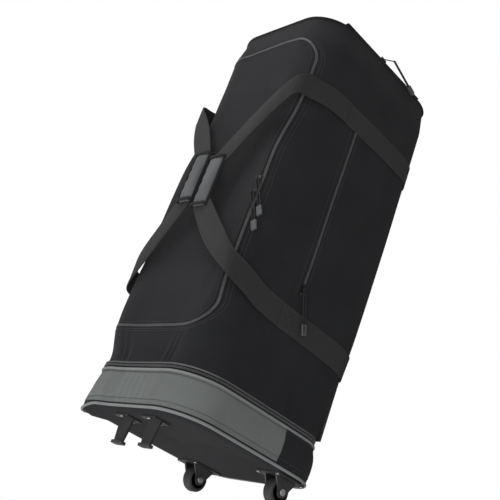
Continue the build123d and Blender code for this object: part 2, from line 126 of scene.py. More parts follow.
def tidy(obj, distance=0.00002):
    """Merge doubles and point every face outwards."""
    return edit_all(
        obj,
        lambda: bpy.ops.mesh.remove_doubles(threshold=distance),
        lambda: bpy.ops.mesh.normals_make_consistent(inside=False),
    )


def smooth(obj, angle=40):
    pick(obj)
    bpy.ops.object.shade_smooth_by_angle(angle=math.radians(angle))
    return obj


def join(name, pieces):
    """Join several meshes into one piece."""
    deselect()
    for piece in pieces:
        piece.select_set(True)
    bpy.context.view_layer.objects.active = pieces[0]
    bpy.ops.object.join()
    return named(name)


def copy_of(obj, name):
    """A copy with its own mesh."""
    twin = obj.copy()
    twin.data = obj.data.copy()
    twin.name = name
    bpy.context.collection.objects.link(twin)
    return twin


def mix(a, b, t):
    return a + (b - a) * t


def ease(t):
    """0 to 1 with soft ends."""
    t = min(1.0, max(0.0, t))
    return t * t * (3 - 2 * t)


# %% [markdown]
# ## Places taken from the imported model
# Each piece is placed from the box of the CAD node that it dresses, so nothing has to be fitted.

# %% Read the sizes


def low(node):
    return Vector(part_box(node)[0])


def high(node):
    return Vector(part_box(node)[1])


def middle(node):
    return (low(node) + high(node)) / 2


wheel_end = low("wheel_end_panel").x
seam = low("compartment_zip").x
body_start = high("compartment_zip").x
far_end = high("far_end_panel").x
half_width = high("wheel_end_panel").y
floor_z = low("wheel_end_panel").z
lid_z = high("wheel_end_panel").z
centre_z = (floor_z + lid_z) / 2
half_height = (lid_z - floor_z) / 2
lid_x0 = low("lid_zip_outer").x
lid_x1 = high("lid_zip_outer").x
lid_near = (low("lid_zip_inner").y + low("lid_zip_outer").y) / 2
hinge_y = high("lid_panel").y
wrap_z = high("base_wrap").z
web_x = {"wheel_end": middle("near_strap_wheel_end").x, "far_end": 0.0}
leg_width = 0.050  # the webbing's width
for end in ("wheel_end", "far_end"):
    strap_low, strap_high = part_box("near_strap_" + end)
    outer = strap_low[0] if end == "wheel_end" else strap_high[0] - leg_width
    web_x[end] = outer + leg_width / 2
leg_top = high("near_web_legs").z
print("bag", round(far_end - wheel_end, 3), "long,", round(2 * half_width, 3), "wide")

# %% [markdown]
# ## The camera
# The bag lies on its underside. The camera looks down on it from the wheel end and the pocket
# side, and is rolled, so that the bag seems to be tipped up on its wheels. It comes first,
# because the framing decides how much detail each part needs.

# %% Camera and framing
view_from = Vector((-0.7727, -1.3687, 1.2967))
forward = Vector((0.402, 0.726, -0.557)).normalized()
camera_up = Vector((0.8569, -0.0842, 0.5086))
right = forward.cross(camera_up).normalized()
camera_up = right.cross(forward).normalized()
camera_data = bpy.data.cameras.new("camera")
camera_data.lens = 65.1
camera_data.sensor_width = 36.0
camera_data.clip_end = 30.0
camera = bpy.data.objects.new("camera", camera_data)
turn = Matrix((right, camera_up, -forward)).transposed().to_4x4()
camera.matrix_world = Matrix.Translation(view_from) @ turn
bpy.context.collection.objects.link(camera)
bpy.context.scene.camera = camera

# %% [markdown]
# ## Floor, world and lights
# A white floor fills the frame. It glows for the camera only, so that it doesn't light the bag
# from below. Black cloth shows its shape only through broad, soft light that grazes it, so there
# is one large key light, a weaker one from the far side and a low fill.

# %% Floor and lights
deselect()
bpy.ops.mesh.primitive_plane_add(size=14, location=(0, 0, 0))
ground = named("ground")
ground_material = bpy.data.materials.new("ground_white")
ground_material.use_nodes = True
ground_tree = ground_material.node_tree
ground_shader = ground_tree.nodes["Principled BSDF"]
ground_shader.inputs["Base Color"].default_value = (0.32, 0.32, 0.32, 1)
ground_shader.inputs["Roughness"].default_value = 0.9
ground_glow = ground_tree.nodes.new("ShaderNodeEmission")
ground_seen = ground_tree.nodes.new("ShaderNodeLightPath")
ground_mix = ground_tree.nodes.new("ShaderNodeMixShader")
ground_tree.links.new(ground_seen.outputs["Is Camera Ray"], ground_mix.inputs[0])
ground_tree.links.new(ground_shader.outputs[0], ground_mix.inputs[1])
ground_tree.links.new(ground_glow.outputs[0], ground_mix.inputs[2])
ground_tree.links.new(ground_mix.outputs[0], ground_tree.nodes["Material Output"].inputs["Surface"])
ground.data.materials.append(ground_material)

world = bpy.data.worlds.new("studio")
world.use_nodes = True
world.node_tree.nodes["Background"].inputs["Color"].default_value = (1, 1, 1, 1)
world.node_tree.nodes["Background"].inputs["Strength"].default_value = 0.62
bpy.context.scene.world = world
bpy.context.scene.view_settings.view_transform = "Standard"


def softbox(name, place, aim, size, power):
    """A square area light that points at a place."""
    data = bpy.data.lights.new(name, "AREA")
    data.size = size
    data.energy = power
    lamp = bpy.data.objects.new(name, data)
    direction = (Vector(aim) - Vector(place)).normalized()
    lamp.rotation_euler = direction.to_track_quat("-Z", "Y").to_euler()
    lamp.location = place
    bpy.context.collection.objects.link(lamp)


softbox("key", (-1.4, -2.2, 2.6), (0, 0, 0.2), 1.8, 60)
softbox("rim", (2.2, 0.6, 1.9), (0.1, 0, 0.3), 1.6, 40)
softbox("wheel_end_fill", (-2.6, 0.8, 1.2), (-0.4, 0, 0.2), 1.4, 28)

# %% [markdown]
# ## Finishes
# Four effects come up again and again: a woven cloth, ribs across webbing, the fine grain of a
# moulding, and dust that lightens a surface unevenly. Each is one node group, placed in every
# material that needs it with its own values. The shaders stay in the materials.

# %% Node group helpers


def new_group(name, inputs, outputs):
    group = bpy.data.node_groups.new(name, "ShaderNodeTree")
    for label, kind, value in inputs:
        socket = group.interface.new_socket(label, in_out="INPUT", socket_type=kind)
        socket.default_value = value
    for label, kind in outputs:
        group.interface.new_socket(label, in_out="OUTPUT", socket_type=kind)
    entry = group.nodes.new("NodeGroupInput")
    leave = group.nodes.new("NodeGroupOutput")
    return group, entry, leave


def math_node(tree, operation, a, b=None, c=None):
    """A math node whose inputs are sockets or numbers."""
    node = tree.nodes.new("ShaderNodeMath")
    node.operation = operation
    for socket, value in zip(node.inputs, (a, b, c)):
        if value is None:
            continue
        if isinstance(value, (int, float)):
            socket.default_value = value
        else:
            tree.links.new(value, socket)
    return node.outputs[0]


def blend_colour(tree, factor, a, b):
    """Mix two colours."""
    node = tree.nodes.new("ShaderNodeMix")
    node.data_type = "RGBA"
    for socket, value in ((node.inputs[0], factor), (node.inputs[6], a), (node.inputs[7], b)):
        if isinstance(value, bpy.types.NodeSocket):
            tree.links.new(value, socket)
        else:
            socket.default_value = value
    return node.outputs[2]


def noise_node(tree, vector, scale, detail=3.0):
    node = tree.nodes.new("ShaderNodeTexNoise")
    node.inputs["Detail"].default_value = detail
    if isinstance(scale, bpy.types.NodeSocket):
        tree.links.new(scale, node.inputs["Scale"])
    else:
        node.inputs["Scale"].default_value = scale
    tree.links.new(vector, node.inputs["Vector"])
    return node.outputs["Fac"]


FLOAT = "NodeSocketFloat"
VECTOR = "NodeSocketVector"
COLOUR = "NodeSocketColor"

# %% [markdown]
# The weave reads the piece's own UV map, which is laid out in metres along and across the cloth,
# so that the threads follow the surface as it bulges. Two sines make the crossing threads.

# %% Woven cloth
weave, weave_in, weave_out = new_group(
    "woven_cloth",
    [("Vector", VECTOR, (0, 0, 0)), ("Threads", FLOAT, 900.0), ("Rib", FLOAT, 0.0)],
    [("Height", FLOAT), ("Patch", FLOAT)],
)
split = weave.nodes.new("ShaderNodeSeparateXYZ")
weave.links.new(weave_in.outputs["Vector"], split.inputs[0])
turns = math_node(weave, "MULTIPLY", weave_in.outputs["Threads"], math.tau)
warp = math_node(weave, "SINE", math_node(weave, "MULTIPLY", split.outputs["X"], turns))
weft = math_node(weave, "SINE", math_node(weave, "MULTIPLY", split.outputs["Y"], turns))
cross = math_node(weave, "MULTIPLY", warp, weft)
ribs = math_node(weave, "MULTIPLY", warp, weave_in.outputs["Rib"])
thread_noise = noise_node(weave, weave_in.outputs["Vector"], 700.0, 2.0)
weave.links.new(
    math_node(weave, "ADD", math_node(weave, "ADD", cross, ribs),
              math_node(weave, "MULTIPLY", thread_noise, 0.8)),
    weave_out.inputs["Height"],
)
weave.links.new(noise_node(weave, weave_in.outputs["Vector"], 14.0, 4.0), weave_out.inputs["Patch"])

# %% [markdown]
# Webbing is woven so tightly that only its cross ribs and a few lengthwise lines show. Its UV
# map runs 0 to its width across, and along its length in metres.

# %% Webbing ribs
ribbing, ribbing_in, ribbing_out = new_group(
    "webbing_ribs",
    [("Vector", VECTOR, (0, 0, 0)), ("Pitch", FLOAT, 0.0016)],
    [("Height", FLOAT), ("Line", FLOAT)],
)
split = ribbing.nodes.new("ShaderNodeSeparateXYZ")
ribbing.links.new(ribbing_in.outputs["Vector"], split.inputs[0])
rate = math_node(ribbing, "DIVIDE", math.tau, ribbing_in.outputs["Pitch"])
across = math_node(ribbing, "SINE", math_node(ribbing, "MULTIPLY", split.outputs["Y"], rate))
lines = math_node(ribbing, "SINE", math_node(ribbing, "MULTIPLY", split.outputs["X"], 2200.0))
ribbing.links.new(math_node(ribbing, "ADD", across, math_node(ribbing, "MULTIPLY", lines, 0.6)),
                  ribbing_out.inputs["Height"])
ribbing.links.new(math_node(ribbing, "MULTIPLY_ADD", lines, 0.5, 0.5), ribbing_out.inputs["Line"])

# %% [markdown]
# Dust is a coarse noise that lightens a surface in soft patches. The grain of a moulding is a
# very fine noise, which only breaks up the gloss.

# %% Dust and moulded grain
dust, dust_in, dust_out = new_group(
    "light_dust",
    [("Vector", VECTOR, (0, 0, 0)), ("Scale", FLOAT, 9.0), ("Amount", FLOAT, 0.3)],
    [("Mask", FLOAT)],
)
coarse = noise_node(dust, dust_in.outputs["Vector"], dust_in.outputs["Scale"], 5.0)
dust.links.new(
    math_node(dust, "MULTIPLY", math_node(dust, "SUBTRACT", coarse, 0.35), dust_in.outputs["Amount"]),
    dust_out.inputs["Mask"],
)
grain, grain_in, grain_out = new_group(
    "moulded_grain",
    [("Vector", VECTOR, (0, 0, 0)), ("Scale", FLOAT, 900.0)],
    [("Height", FLOAT)],
)
grain_fine = noise_node(grain, grain_in.outputs["Vector"], grain_in.outputs["Scale"], 2.0)
grain.links.new(grain_fine, grain_out.inputs["Height"])

# %% [markdown]
# ## Materials
# Each finish is a Principled shader fed by those groups. Values that are the same all over, such
# as the sheen of cloth, are set on the shader itself.

# %% Material makers


def start_material(name, roughness, sheen=0.0, specular=0.5, metallic=0.0):
    material = bpy.data.materials.new(name)
    material.use_nodes = True
    tree = material.node_tree
    shader = tree.nodes["Principled BSDF"]
    shader.inputs["Roughness"].default_value = roughness
    shader.inputs["Specular IOR Level"].default_value = specular
    shader.inputs["Metallic"].default_value = metallic
    shader.inputs["Sheen Weight"].default_value = sheen
    shader.inputs["Sheen Roughness"].default_value = 0.5
    return material, tree, shader


def use_group(tree, group, vector, **values):
    node = tree.nodes.new("ShaderNodeGroup")
    node.node_tree = group
    tree.links.new(vector, node.inputs["Vector"])
    for label, value in values.items():
        node.inputs[label].default_value = value
    return node


def bump(tree, shader, height, strength, distance):
    node = tree.nodes.new("ShaderNodeBump")
    node.inputs["Strength"].default_value = strength
    node.inputs["Distance"].default_value = distance
    tree.links.new(height, node.inputs["Height"])
    tree.links.new(node.outputs["Normal"], shader.inputs["Normal"])


def cloth(name, dark, light, threads, sheen=0.03, rib=0.0, roughness=0.85, depth=0.00025,
          dusty=0.05, source="UV"):
    """Woven cloth: two close colours mixed in patches and threads, a little dust, and sheen."""
    material, tree, shader = start_material(name, roughness, sheen=sheen, specular=0.12)
    coordinates = tree.nodes.new("ShaderNodeTexCoord")
    threads_node = use_group(tree, weave, coordinates.outputs[source], Threads=threads, Rib=rib)
    dust_node = use_group(tree, dust, coordinates.outputs["Object"], Amount=dusty)
    patch = math_node(tree, "MULTIPLY_ADD", threads_node.outputs["Height"], 0.12,
                      threads_node.outputs["Patch"])
    base = blend_colour(tree, patch, dark, light)
    worn = blend_colour(tree, dust_node.outputs["Mask"], base, (0.16, 0.16, 0.16, 1))
    tree.links.new(worn, shader.inputs["Base Color"])
    bump(tree, shader, threads_node.outputs["Height"], 0.5, depth)
    return material


def webbing_finish(name, dark, light):
    material, tree, shader = start_material(name, 0.75, sheen=0.03, specular=0.15)
    coordinates = tree.nodes.new("ShaderNodeTexCoord")
    rib_node = use_group(tree, ribbing, coordinates.outputs["UV"])
    dust_node = use_group(tree, dust, coordinates.outputs["Object"], Scale=22.0, Amount=0.06)
    base = blend_colour(tree, rib_node.outputs["Line"], dark, light)
    worn = blend_colour(tree, dust_node.outputs["Mask"], base, (0.14, 0.14, 0.13, 1))
    tree.links.new(worn, shader.inputs["Base Color"])
    bump(tree, shader, rib_node.outputs["Height"], 0.7, 0.0004)
    return material


def moulded(name, dark, light, roughness=0.45, metallic=0.0, grain_scale=900.0, depth=0.0001):
    material, tree, shader = start_material(name, roughness, metallic=metallic)
    coordinates = tree.nodes.new("ShaderNodeTexCoord")
    grain_node = use_group(tree, grain, coordinates.outputs["Object"], Scale=grain_scale)
    dust_node = use_group(tree, dust, coordinates.outputs["Object"], Scale=60.0, Amount=0.8)
    base = blend_colour(tree, dust_node.outputs["Mask"], dark, light)
    tree.links.new(base, shader.inputs["Base Color"])
    rough = math_node(tree, "MULTIPLY_ADD", dust_node.outputs["Mask"], 0.3, roughness)
    tree.links.new(rough, shader.inputs["Roughness"])
    bump(tree, shader, grain_node.outputs["Height"], 0.4, depth)
    return material


# %% [markdown]
# Every colour is given as a darker and a lighter value of one hue, so that no surface is quite
# even. The black cloth is kept above pure black, or its folds wouldn't show.

# %% The materials
body_cloth = cloth("body_cloth", (0.0085, 0.0087, 0.0100, 1), (0.0155, 0.0158, 0.0178, 1), 1100)
band_cloth = cloth("band_cloth", (0.105, 0.113, 0.111, 1), (0.150, 0.160, 0.157, 1), 620,
                   rib=1.6, depth=0.0005, dusty=0.1)
lining_cloth = cloth("lining_cloth", (0.03, 0.03, 0.032, 1), (0.05, 0.05, 0.053, 1), 900,
                     sheen=0.0, roughness=0.6)
grip_cloth = cloth("grip_cloth", (0.060, 0.062, 0.065, 1), (0.120, 0.124, 0.130, 1), 800,
                   sheen=0.05, dusty=0.1)
binding_cloth = cloth("binding_cloth", (0.010, 0.010, 0.010, 1), (0.022, 0.022, 0.022, 1), 1500)
piping_cloth = cloth("piping_cloth", (0.155, 0.160, 0.160, 1), (0.215, 0.221, 0.221, 1), 1300,
                     sheen=0.05, dusty=0.1)
tape_cloth = cloth("tape_cloth", (0.006, 0.006, 0.0065, 1), (0.011, 0.011, 0.012, 1), 1600)
thread = cloth("thread", (0.035, 0.035, 0.037, 1), (0.06, 0.06, 0.062, 1), 900,
               source="Object")
cord_cloth = cloth("cord_cloth", (0.012, 0.012, 0.012, 1), (0.03, 0.03, 0.03, 1), 700,
                   source="Object")
webbing = webbing_finish("webbing", (0.016, 0.016, 0.0162, 1), (0.031, 0.031, 0.0312, 1))
teeth_plastic = moulded("teeth_plastic", (0.060, 0.060, 0.063, 1), (0.105, 0.105, 0.108, 1), 0.4)
black_plastic = moulded("black_plastic", (0.012, 0.012, 0.012, 1), (0.035, 0.035, 0.035, 1), 0.42)
hub_plastic = moulded("hub_plastic", (0.02, 0.02, 0.021, 1), (0.05, 0.05, 0.05, 1), 0.3)
tyre_rubber = moulded("tyre_rubber", (0.014, 0.014, 0.014, 1), (0.05, 0.05, 0.048, 1), 0.62,
                      grain_scale=500.0)
pull_rubber = moulded("pull_rubber", (0.052, 0.054, 0.056, 1), (0.085, 0.087, 0.09, 1), 0.5)
slider_enamel = moulded("slider_enamel", (0.02, 0.02, 0.021, 1), (0.06, 0.06, 0.06, 1), 0.28,
                        metallic=0.7)
steel = moulded("steel", (0.45, 0.45, 0.46, 1), (0.3, 0.3, 0.3, 1), 0.3, metallic=1.0,
                grain_scale=300.0)
board_plastic = moulded("board_plastic", (0.02, 0.02, 0.02, 1), (0.04, 0.04, 0.04, 1), 0.6)


def finish(obj, material, slot, body, *nodes):
    """Give a piece its material, make it ride, and hide the nodes it stands for. The slot is not used.
    """
    obj.data.materials.clear()
    obj.data.materials.append(material)
    if body:
        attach(obj, body)
    if nodes:
        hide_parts(*nodes)
    return obj


# %% [markdown]
# ## The shape of the stuffed bag
# The bag is one soft form, a rounded section carried along its length. It is fullest in the
# middle of each side and draws in at the three seams that run round it: at the wheel-end piping,
# at the compartment's zip and at the far end. One function gives any point of that form, and
# every panel, seam, zip and strap is laid on it, so they all meet.

# %% The section at any place along the bag
# Where each stretch of the near half ends, as a share of the whole way round: underside, bottom
# corner, side, top corner, and the top as far as the far corner.
PART_ENDS = [0.0, 0.093, 0.139, 0.355, 0.401, 0.599]


def near_seam(x, reach):
    """1 at a seam that runs round the bag, 0 further than reach from all of them."""
    distance = min(abs(x - wheel_end), abs(x - seam), abs(x - body_start), abs(x - far_end))
    return 1 - ease(distance / reach)


def section_sizes(x):
    """Half width, underside, top, and the corners' radii at a place along the bag."""
    in_body = ease((x - body_start + 0.01) / 0.05)
    tuck = near_seam(x, 0.075 if x > body_start else 0.035)
    reach = half_width - 0.0005 - mix(0.0035, 0.0085, in_body) * tuck
    top = lid_z - mix(0.002, 0.0065, in_body) * tuck
    notch = math.exp(-(((x - (seam + body_start) / 2) / 0.022) ** 2))
    bottom = floor_z + 0.010 * notch + 0.002 * tuck
    firm = ease((x - body_start) / 0.20) * (1 - 0.9 * ease((x - 0.10) / 0.18))
    top_radius = (mix(0.080, 0.030, firm), mix(0.078, 0.058, firm))
    slack = 1 - ease((x - body_start) / 0.45)
    low_radius = (mix(0.062, mix(0.034, 0.038, slack), in_body),
                  mix(0.068, mix(0.055, 0.095, slack), in_body))
    return reach, bottom, top, top_radius, low_radius


def rounded(x, s):
    """A point of the rounded section: s goes once round, from the middle of the underside,
    up the near side, over the top and down the far side."""
    reach, bottom, top, top_radius, low_radius = section_sizes(x)
    far = s > 0.5
    if far:
        s = 1 - s
    part = next(i for i in range(5) if s <= PART_ENDS[i + 1] + 1e-9)
    t = (s - PART_ENDS[part]) / (PART_ENDS[part + 1] - PART_ENDS[part])
    if part == 0:
        y, z = -(reach - low_radius[0]) * t, bottom
    elif part == 1:
        a = t * math.pi / 2
        y = -(reach - low_radius[0]) - low_radius[0] * math.sin(a)
        z = bottom + low_radius[1] - low_radius[1] * math.cos(a)
    elif part == 2:
        y = -reach
        z = mix(bottom + low_radius[1], top - top_radius[1], t)
    elif part == 3:
        a = t * math.pi / 2
        y = -(reach - top_radius[0]) - top_radius[0] * math.cos(a)
        z = top - top_radius[1] + top_radius[1] * math.sin(a)
    else:
        # s stops at 0.5, half of the way in, so one wide face spans the middle of the top
        y, z = -(reach - top_radius[0]) * (1 - t), top
    return (-y if far else y), z


print("half section at the middle", [round(value, 4) for value in rounded(0.0, 0.25)])

# %% [markdown]
# Cloth is never as even as that. The sides belly out and sag, soft folds run over them, and short
# pleats gather at the seams. The folds die away where zips and webbing lie, so that these sit
# flat on the cloth.

# %% Bulge, sag and folds
PLEAT_DEPTH = 0.0022
FOLD_DEPTH = 0.0036
CREASE_DEPTH = 0.0022
DRAPE_DEPTH = 0.0022


def soft_noise(x, y, z, size):
    return noise.noise(Vector((x, y, z)) / size + Vector((3.1, 7.7, 1.3)))


def calm(x, z, y):
    """0 where hard pieces lie on the cloth, 1 where it is free to wrinkle."""
    on_slider = math.exp(-((abs(y - lid_near) / 0.030) ** 2)) if z > centre_z else 0.0
    pocket_row = math.exp(-(((z - middle("pocket_zip").z) / 0.035) ** 2)) if y < 0 else 0.0
    under_web = max(math.exp(-(((x - web) / 0.040) ** 2)) for web in web_x.values())
    return 1 - 0.8 * max(on_slider, pocket_row, under_web)


def skin(x, s, inset=0.0):
    """A point on the outside of the bag, with its bulge, sag and soft folds."""
    y, z = rounded(x, s)
    up = (z - centre_z) / half_height
    side = y / half_width
    y *= 1 - 0.040 * up * up * abs(up)
    if z > centre_z:
        z = centre_z + (z - centre_z) * (1 - 0.012 * side**4)
    outward = Vector((0, side * abs(side), up * abs(up)))
    if outward.length < 1e-6:
        outward = Vector((0, 0, 1))
    outward.normalize()
    free = calm(x, z, y) * (1 - near_seam(x, 0.03))
    in_body = ease((x - body_start) / 0.05)
    fold = FOLD_DEPTH * soft_noise(x, y, z, 0.13) + CREASE_DEPTH * soft_noise(x * 0.4, y, z, 0.05)
    drape = DRAPE_DEPTH * in_body * math.sin(x * 21 + z * 9 + 1.2) * ease(1 - abs(up))
    if z < floor_z + 0.02:
        fold *= 0.2
        drape = 0.0
    # the cloth pulls into short pleats where it meets the compartment's seams
    pleat_reach = math.exp(-((x - body_start) / 0.045) ** 2) if x > body_start else 0.0
    pleat = PLEAT_DEPTH * pleat_reach * math.sin(s * 150 + 2 * math.sin(s * 31))
    # towards the wheel end the far top edge stands out and the near bottom edge draws in
    loose_end = ease((-0.10 - x) / 0.22)
    y += 0.008 * loose_end * ease((side - 0.1) / 0.8) * ease((up - 0.7) / 0.3)
    z += 0.009 * loose_end * ease((side - 0.2) / 0.7) * ease((up - 0.4) / 0.5)
    y += 0.014 * loose_end * in_body * ease((-side - 0.6) / 0.35) * ease((-up + 0.1) / 0.8)
    corner_pull = math.exp(-(((x - wheel_end) / 0.035) ** 2))
    corner_pull *= ease((side - 0.55) / 0.4) * ease((up - 0.6) / 0.35)
    y += 0.012 * corner_pull
    z += 0.010 * corner_pull
    point = Vector((x - 0.015 * corner_pull, y, z))
    return point + outward * (free * (fold + drape) + pleat - inset)


print("skin at the middle of the near side", [round(v, 4) for v in skin(0.0, 0.25)])

# %% [markdown]
# ## Sheets of cloth laid on that shape
# A panel starts as a flat grid, as cloth does. Its two directions become distance along the bag
# and distance round it, and each vertex moves to its place on the form. The UV map is set in
# metres, so the weave keeps its real size.

# %% Make a grid and lay it on a surface


def laid_grid(name, rows, columns, place, size_u, size_v, close=True):
    """A grid of rows by columns. place(u, v) gives each vertex from 0 to 1 in both directions."""
    deselect()
    bpy.ops.mesh.primitive_grid_add(x_subdivisions=rows, y_subdivisions=columns, size=2)
    obj = named(name)
    mesh = obj.data
    spots = [((v.co.x + 1) / 2, (v.co.y + 1) / 2) for v in mesh.vertices]
    layer = mesh.uv_layers.active.data
    for loop in mesh.loops:
        u, v = spots[loop.vertex_index]
        layer[loop.index].uv = (u * size_u, v * size_v)
    for vertex, (u, v) in zip(mesh.vertices, spots):
        vertex.co = place(u, v)
    if close:
        tidy(obj)
    return obj


# %% [markdown]
# The outer skin is one closed form: a cap of rings at each end and rings every few millimetres
# between them. Cutting it up afterwards makes panels that meet exactly.

# %% The whole skin
END_CROWN = 0.006  # how far the end panels bulge
CAP_RINGS = 13
LENGTH_STEPS = 118
ROUND_STEPS = 168
SKIN_GIRTH = 1.34
CLOTH_THICKNESS = 0.0024
stations = [("wheel", i / CAP_RINGS) for i in range(CAP_RINGS)]
stations += [("body", i / LENGTH_STEPS) for i in range(LENGTH_STEPS + 1)]
stations += [("far", 1 - i / CAP_RINGS) for i in range(1, CAP_RINGS + 1)]


def end_point(x_ring, s, k, direction):
    """A point on an end panel: k is 0 in its middle and 1 at the piping."""
    ring_y, ring_z = skin(x_ring, s).yz
    edge = ease((k - 0.915) / 0.085) ** 2
    crown = 0.0015 * soft_noise(ring_y * k * 3, ring_z * k * 3, 1.0, 0.2)
    x = x_ring + direction * (END_CROWN * (1 - edge) + crown * (1 - edge) * 0.5)
    ring_x = skin(x_ring, s).x
    x += (ring_x - x_ring) * ease((k - 0.4) / 0.6)
    return Vector((x, ring_y * k, centre_z + (ring_z - centre_z) * k))


def whole_skin(u, s):
    kind, value = stations[round(u * (len(stations) - 1))]
    if kind == "wheel":
        return end_point(wheel_end + END_CROWN, s, value, -1)
    if kind == "far":
        return end_point(far_end - END_CROWN, s, value, 1)
    return skin(mix(wheel_end + END_CROWN, far_end - END_CROWN, value), s)


shell = laid_grid("shell", len(stations) - 1, ROUND_STEPS, whole_skin,
                  far_end - wheel_end, SKIN_GIRTH)
modify(shell, "SOLIDIFY", thickness=CLOTH_THICKNESS, offset=-1.0, use_even_offset=False)
smooth(shell, 60)
print("skin faces", len(shell.data.polygons))

# %% [markdown]
# ## Cutting out the lid
# The lid is cut with a tool shaped like its own outline: a plate with two rounded corners that
# passes through the top. Two plates of different sizes leave the gap that the zip fills.

# %% Cutting tools
ZIP_WIDTH = 0.003
ZIP_HALF = 0.0040  # half of the gap that a zip fills
LID_CORNER = 0.060
OUT = 0.7  # further out than any piece of the bag


def block(name, corner, other):
    """A box between two corners."""
    a, b = Vector(corner), Vector(other)
    deselect()
    bpy.ops.mesh.primitive_cube_add(size=1, location=(a + b) / 2, scale=[abs(v) for v in b - a])
    return settle(named(name))


def bevel_edges(obj, test, width, segments=4):
    """Round the edges whose two ends pass a test."""
    pick(obj)
    bpy.ops.object.mode_set(mode="EDIT")
    bpy.ops.mesh.select_mode(type="EDGE")
    bpy.ops.mesh.select_all(action="DESELECT")
    bpy.ops.object.mode_set(mode="OBJECT")
    for edge in obj.data.edges:
        a, b = (obj.data.vertices[i].co for i in edge.vertices)
        edge.select = test(a, b)
    bpy.ops.object.mode_set(mode="EDIT")
    bpy.ops.mesh.bevel(offset=width, segments=segments)
    bpy.ops.object.mode_set(mode="OBJECT")
    return obj


def lid_plate(name, outset):
    """A solid plate with the lid's outline, moved out by outset."""
    x0, x1 = lid_x0 + ZIP_WIDTH - outset, lid_x1 - ZIP_WIDTH + outset
    y0 = lid_near - outset
    plate = block(name, (x0, y0, lid_z - 0.06), (x1, hinge_y, lid_z + 0.03))
    return bevel_edges(
        plate, lambda a, b: abs(a.z - b.z) > 0.05 and max(a.y, b.y) < y0 + 0.001,
        LID_CORNER + outset, 20)


def cut(obj, tool, operation="INTERSECT"):
    return modify(obj, "BOOLEAN", object=tool, operation=operation, solver="EXACT")


def panel_from(source, name, corner, other):
    """The part of a skin that lies inside a box."""
    panel = copy_of(source, name)
    tool = block("cutting_box", corner, other)
    cut(panel, tool)
    bpy.data.objects.remove(tool)
    return smooth(panel, 50)


lid_tool = lid_plate("lid_tool", -ZIP_HALF)
mouth_tool = lid_plate("mouth_tool", ZIP_HALF)
body_skin = copy_of(shell, "body_skin")
lid_cloth = copy_of(shell, "lid_cloth")
cut(lid_cloth, lid_tool)
cut(body_skin, mouth_tool, "DIFFERENCE")
print("lid faces", len(lid_cloth.data.polygons), "and body faces", len(body_skin.data.polygons))

# %% [markdown]
# ## The panels
# The body is cut along its seams into the panels that a maker would sew: two sides, the
# underside, the far end, the two strips beside the lid, and the compartment's grey band, black
# base and end. Each one hides the plain solid that it stands for.

# %% Cut the panels
surround_y = high("near_side_panel").y
bottom_seam = high("underside_panel").z
END_PANEL_DEPTH = 0.0105  # how far an end panel reaches round its edge
end_seam = far_end - END_PANEL_DEPTH
front_seam = wheel_end + END_PANEL_DEPTH
panel_boxes = {
    "far_end_panel": (end_seam, -OUT, -OUT, OUT, OUT, OUT),
    "underside_panel": (body_start, -OUT, -OUT, end_seam, OUT, bottom_seam),
    "near_side_panel": (body_start, -OUT, bottom_seam, end_seam, surround_y, OUT),
    "far_side_panel": (body_start, hinge_y, bottom_seam, end_seam, OUT, OUT),
    "top_strip_wheel_end": (body_start, surround_y, centre_z, 0, hinge_y, OUT),
    "top_strip_far_end": (0, surround_y, centre_z, end_seam, hinge_y, OUT),
}
for node, box in panel_boxes.items():
    panel = panel_from(body_skin, "cloth_" + node, box[:3], box[3:])
    finish(panel, body_cloth, "body_fabric", "root", node)
finish(smooth(lid_cloth, 50), body_cloth, "body_fabric", "lid", "lid_panel")
zip_band = panel_from(shell, "compartment_zip_tape", (seam, -OUT, -OUT), (body_start, OUT, OUT))
finish(zip_band, tape_cloth, "body_fabric", "root", "compartment_zip")
band = panel_from(shell, "cloth_grey_band", (front_seam, -OUT, wrap_z), (seam, OUT, OUT))
finish(band, band_cloth, "band_fabric", "root", "grey_band")
wrap = panel_from(shell, "cloth_base_wrap", (front_seam, -OUT, -OUT), (seam, OUT, wrap_z))
finish(wrap, body_cloth, "body_fabric", "root", "base_wrap")
end_cloth = panel_from(shell, "cloth_wheel_end_panel",
                       (-OUT, -OUT, -OUT), (front_seam, OUT, OUT))
finish(end_cloth, body_cloth, "body_fabric", "root", "wheel_end_panel")
for tool in (lid_tool, mouth_tool, shell, body_skin):
    bpy.data.objects.remove(tool)
print("panels cut:", len(panel_boxes) + 5)

# %% [markdown]
# ## Lines on the surface
# Zips, stitches, welts and piping all run along lines on the skin. A line is worked out once as
# points with a normal at each, and then dressed: a tube for piping, a strip for tape, a row of
# small blocks for teeth, and a row of thin dashes for thread.

# %% Points and lines on the skin


def find_s(x, value, axis, low_s, high_s):
    """The place round the section where y or z has a value."""
    rising = skin(x, high_s)[axis] > skin(x, low_s)[axis]
    for _ in range(26):
        middle_s = (low_s + high_s) / 2
        if (skin(x, middle_s)[axis] < value) == rising:
            low_s = middle_s
        else:
            high_s = middle_s
    return (low_s + high_s) / 2


def skin_normal(x, s):
    step = 0.002
    along = skin(x + step, s) - skin(x - step, s)
    round_it = skin(x, min(s + step, 1)) - skin(x, max(s - step, 0))
    return round_it.cross(along).normalized()


def spot(x, s):
    """A point of the skin with its normal, which points outwards."""
    normal = skin_normal(x, s)
    point = skin(x, s)
    outward = Vector((0, point.y, point.z - centre_z))
    return point, normal if normal.dot(outward) > 0 else -normal


def on_top(x, y):
    return spot(x, find_s(x, y, 1, 0.37, 0.63))


def on_side(x, z, far=False):
    return spot(x, find_s(x, z, 2, 0.51, 0.95) if far else find_s(x, z, 2, 0.05, 0.49))


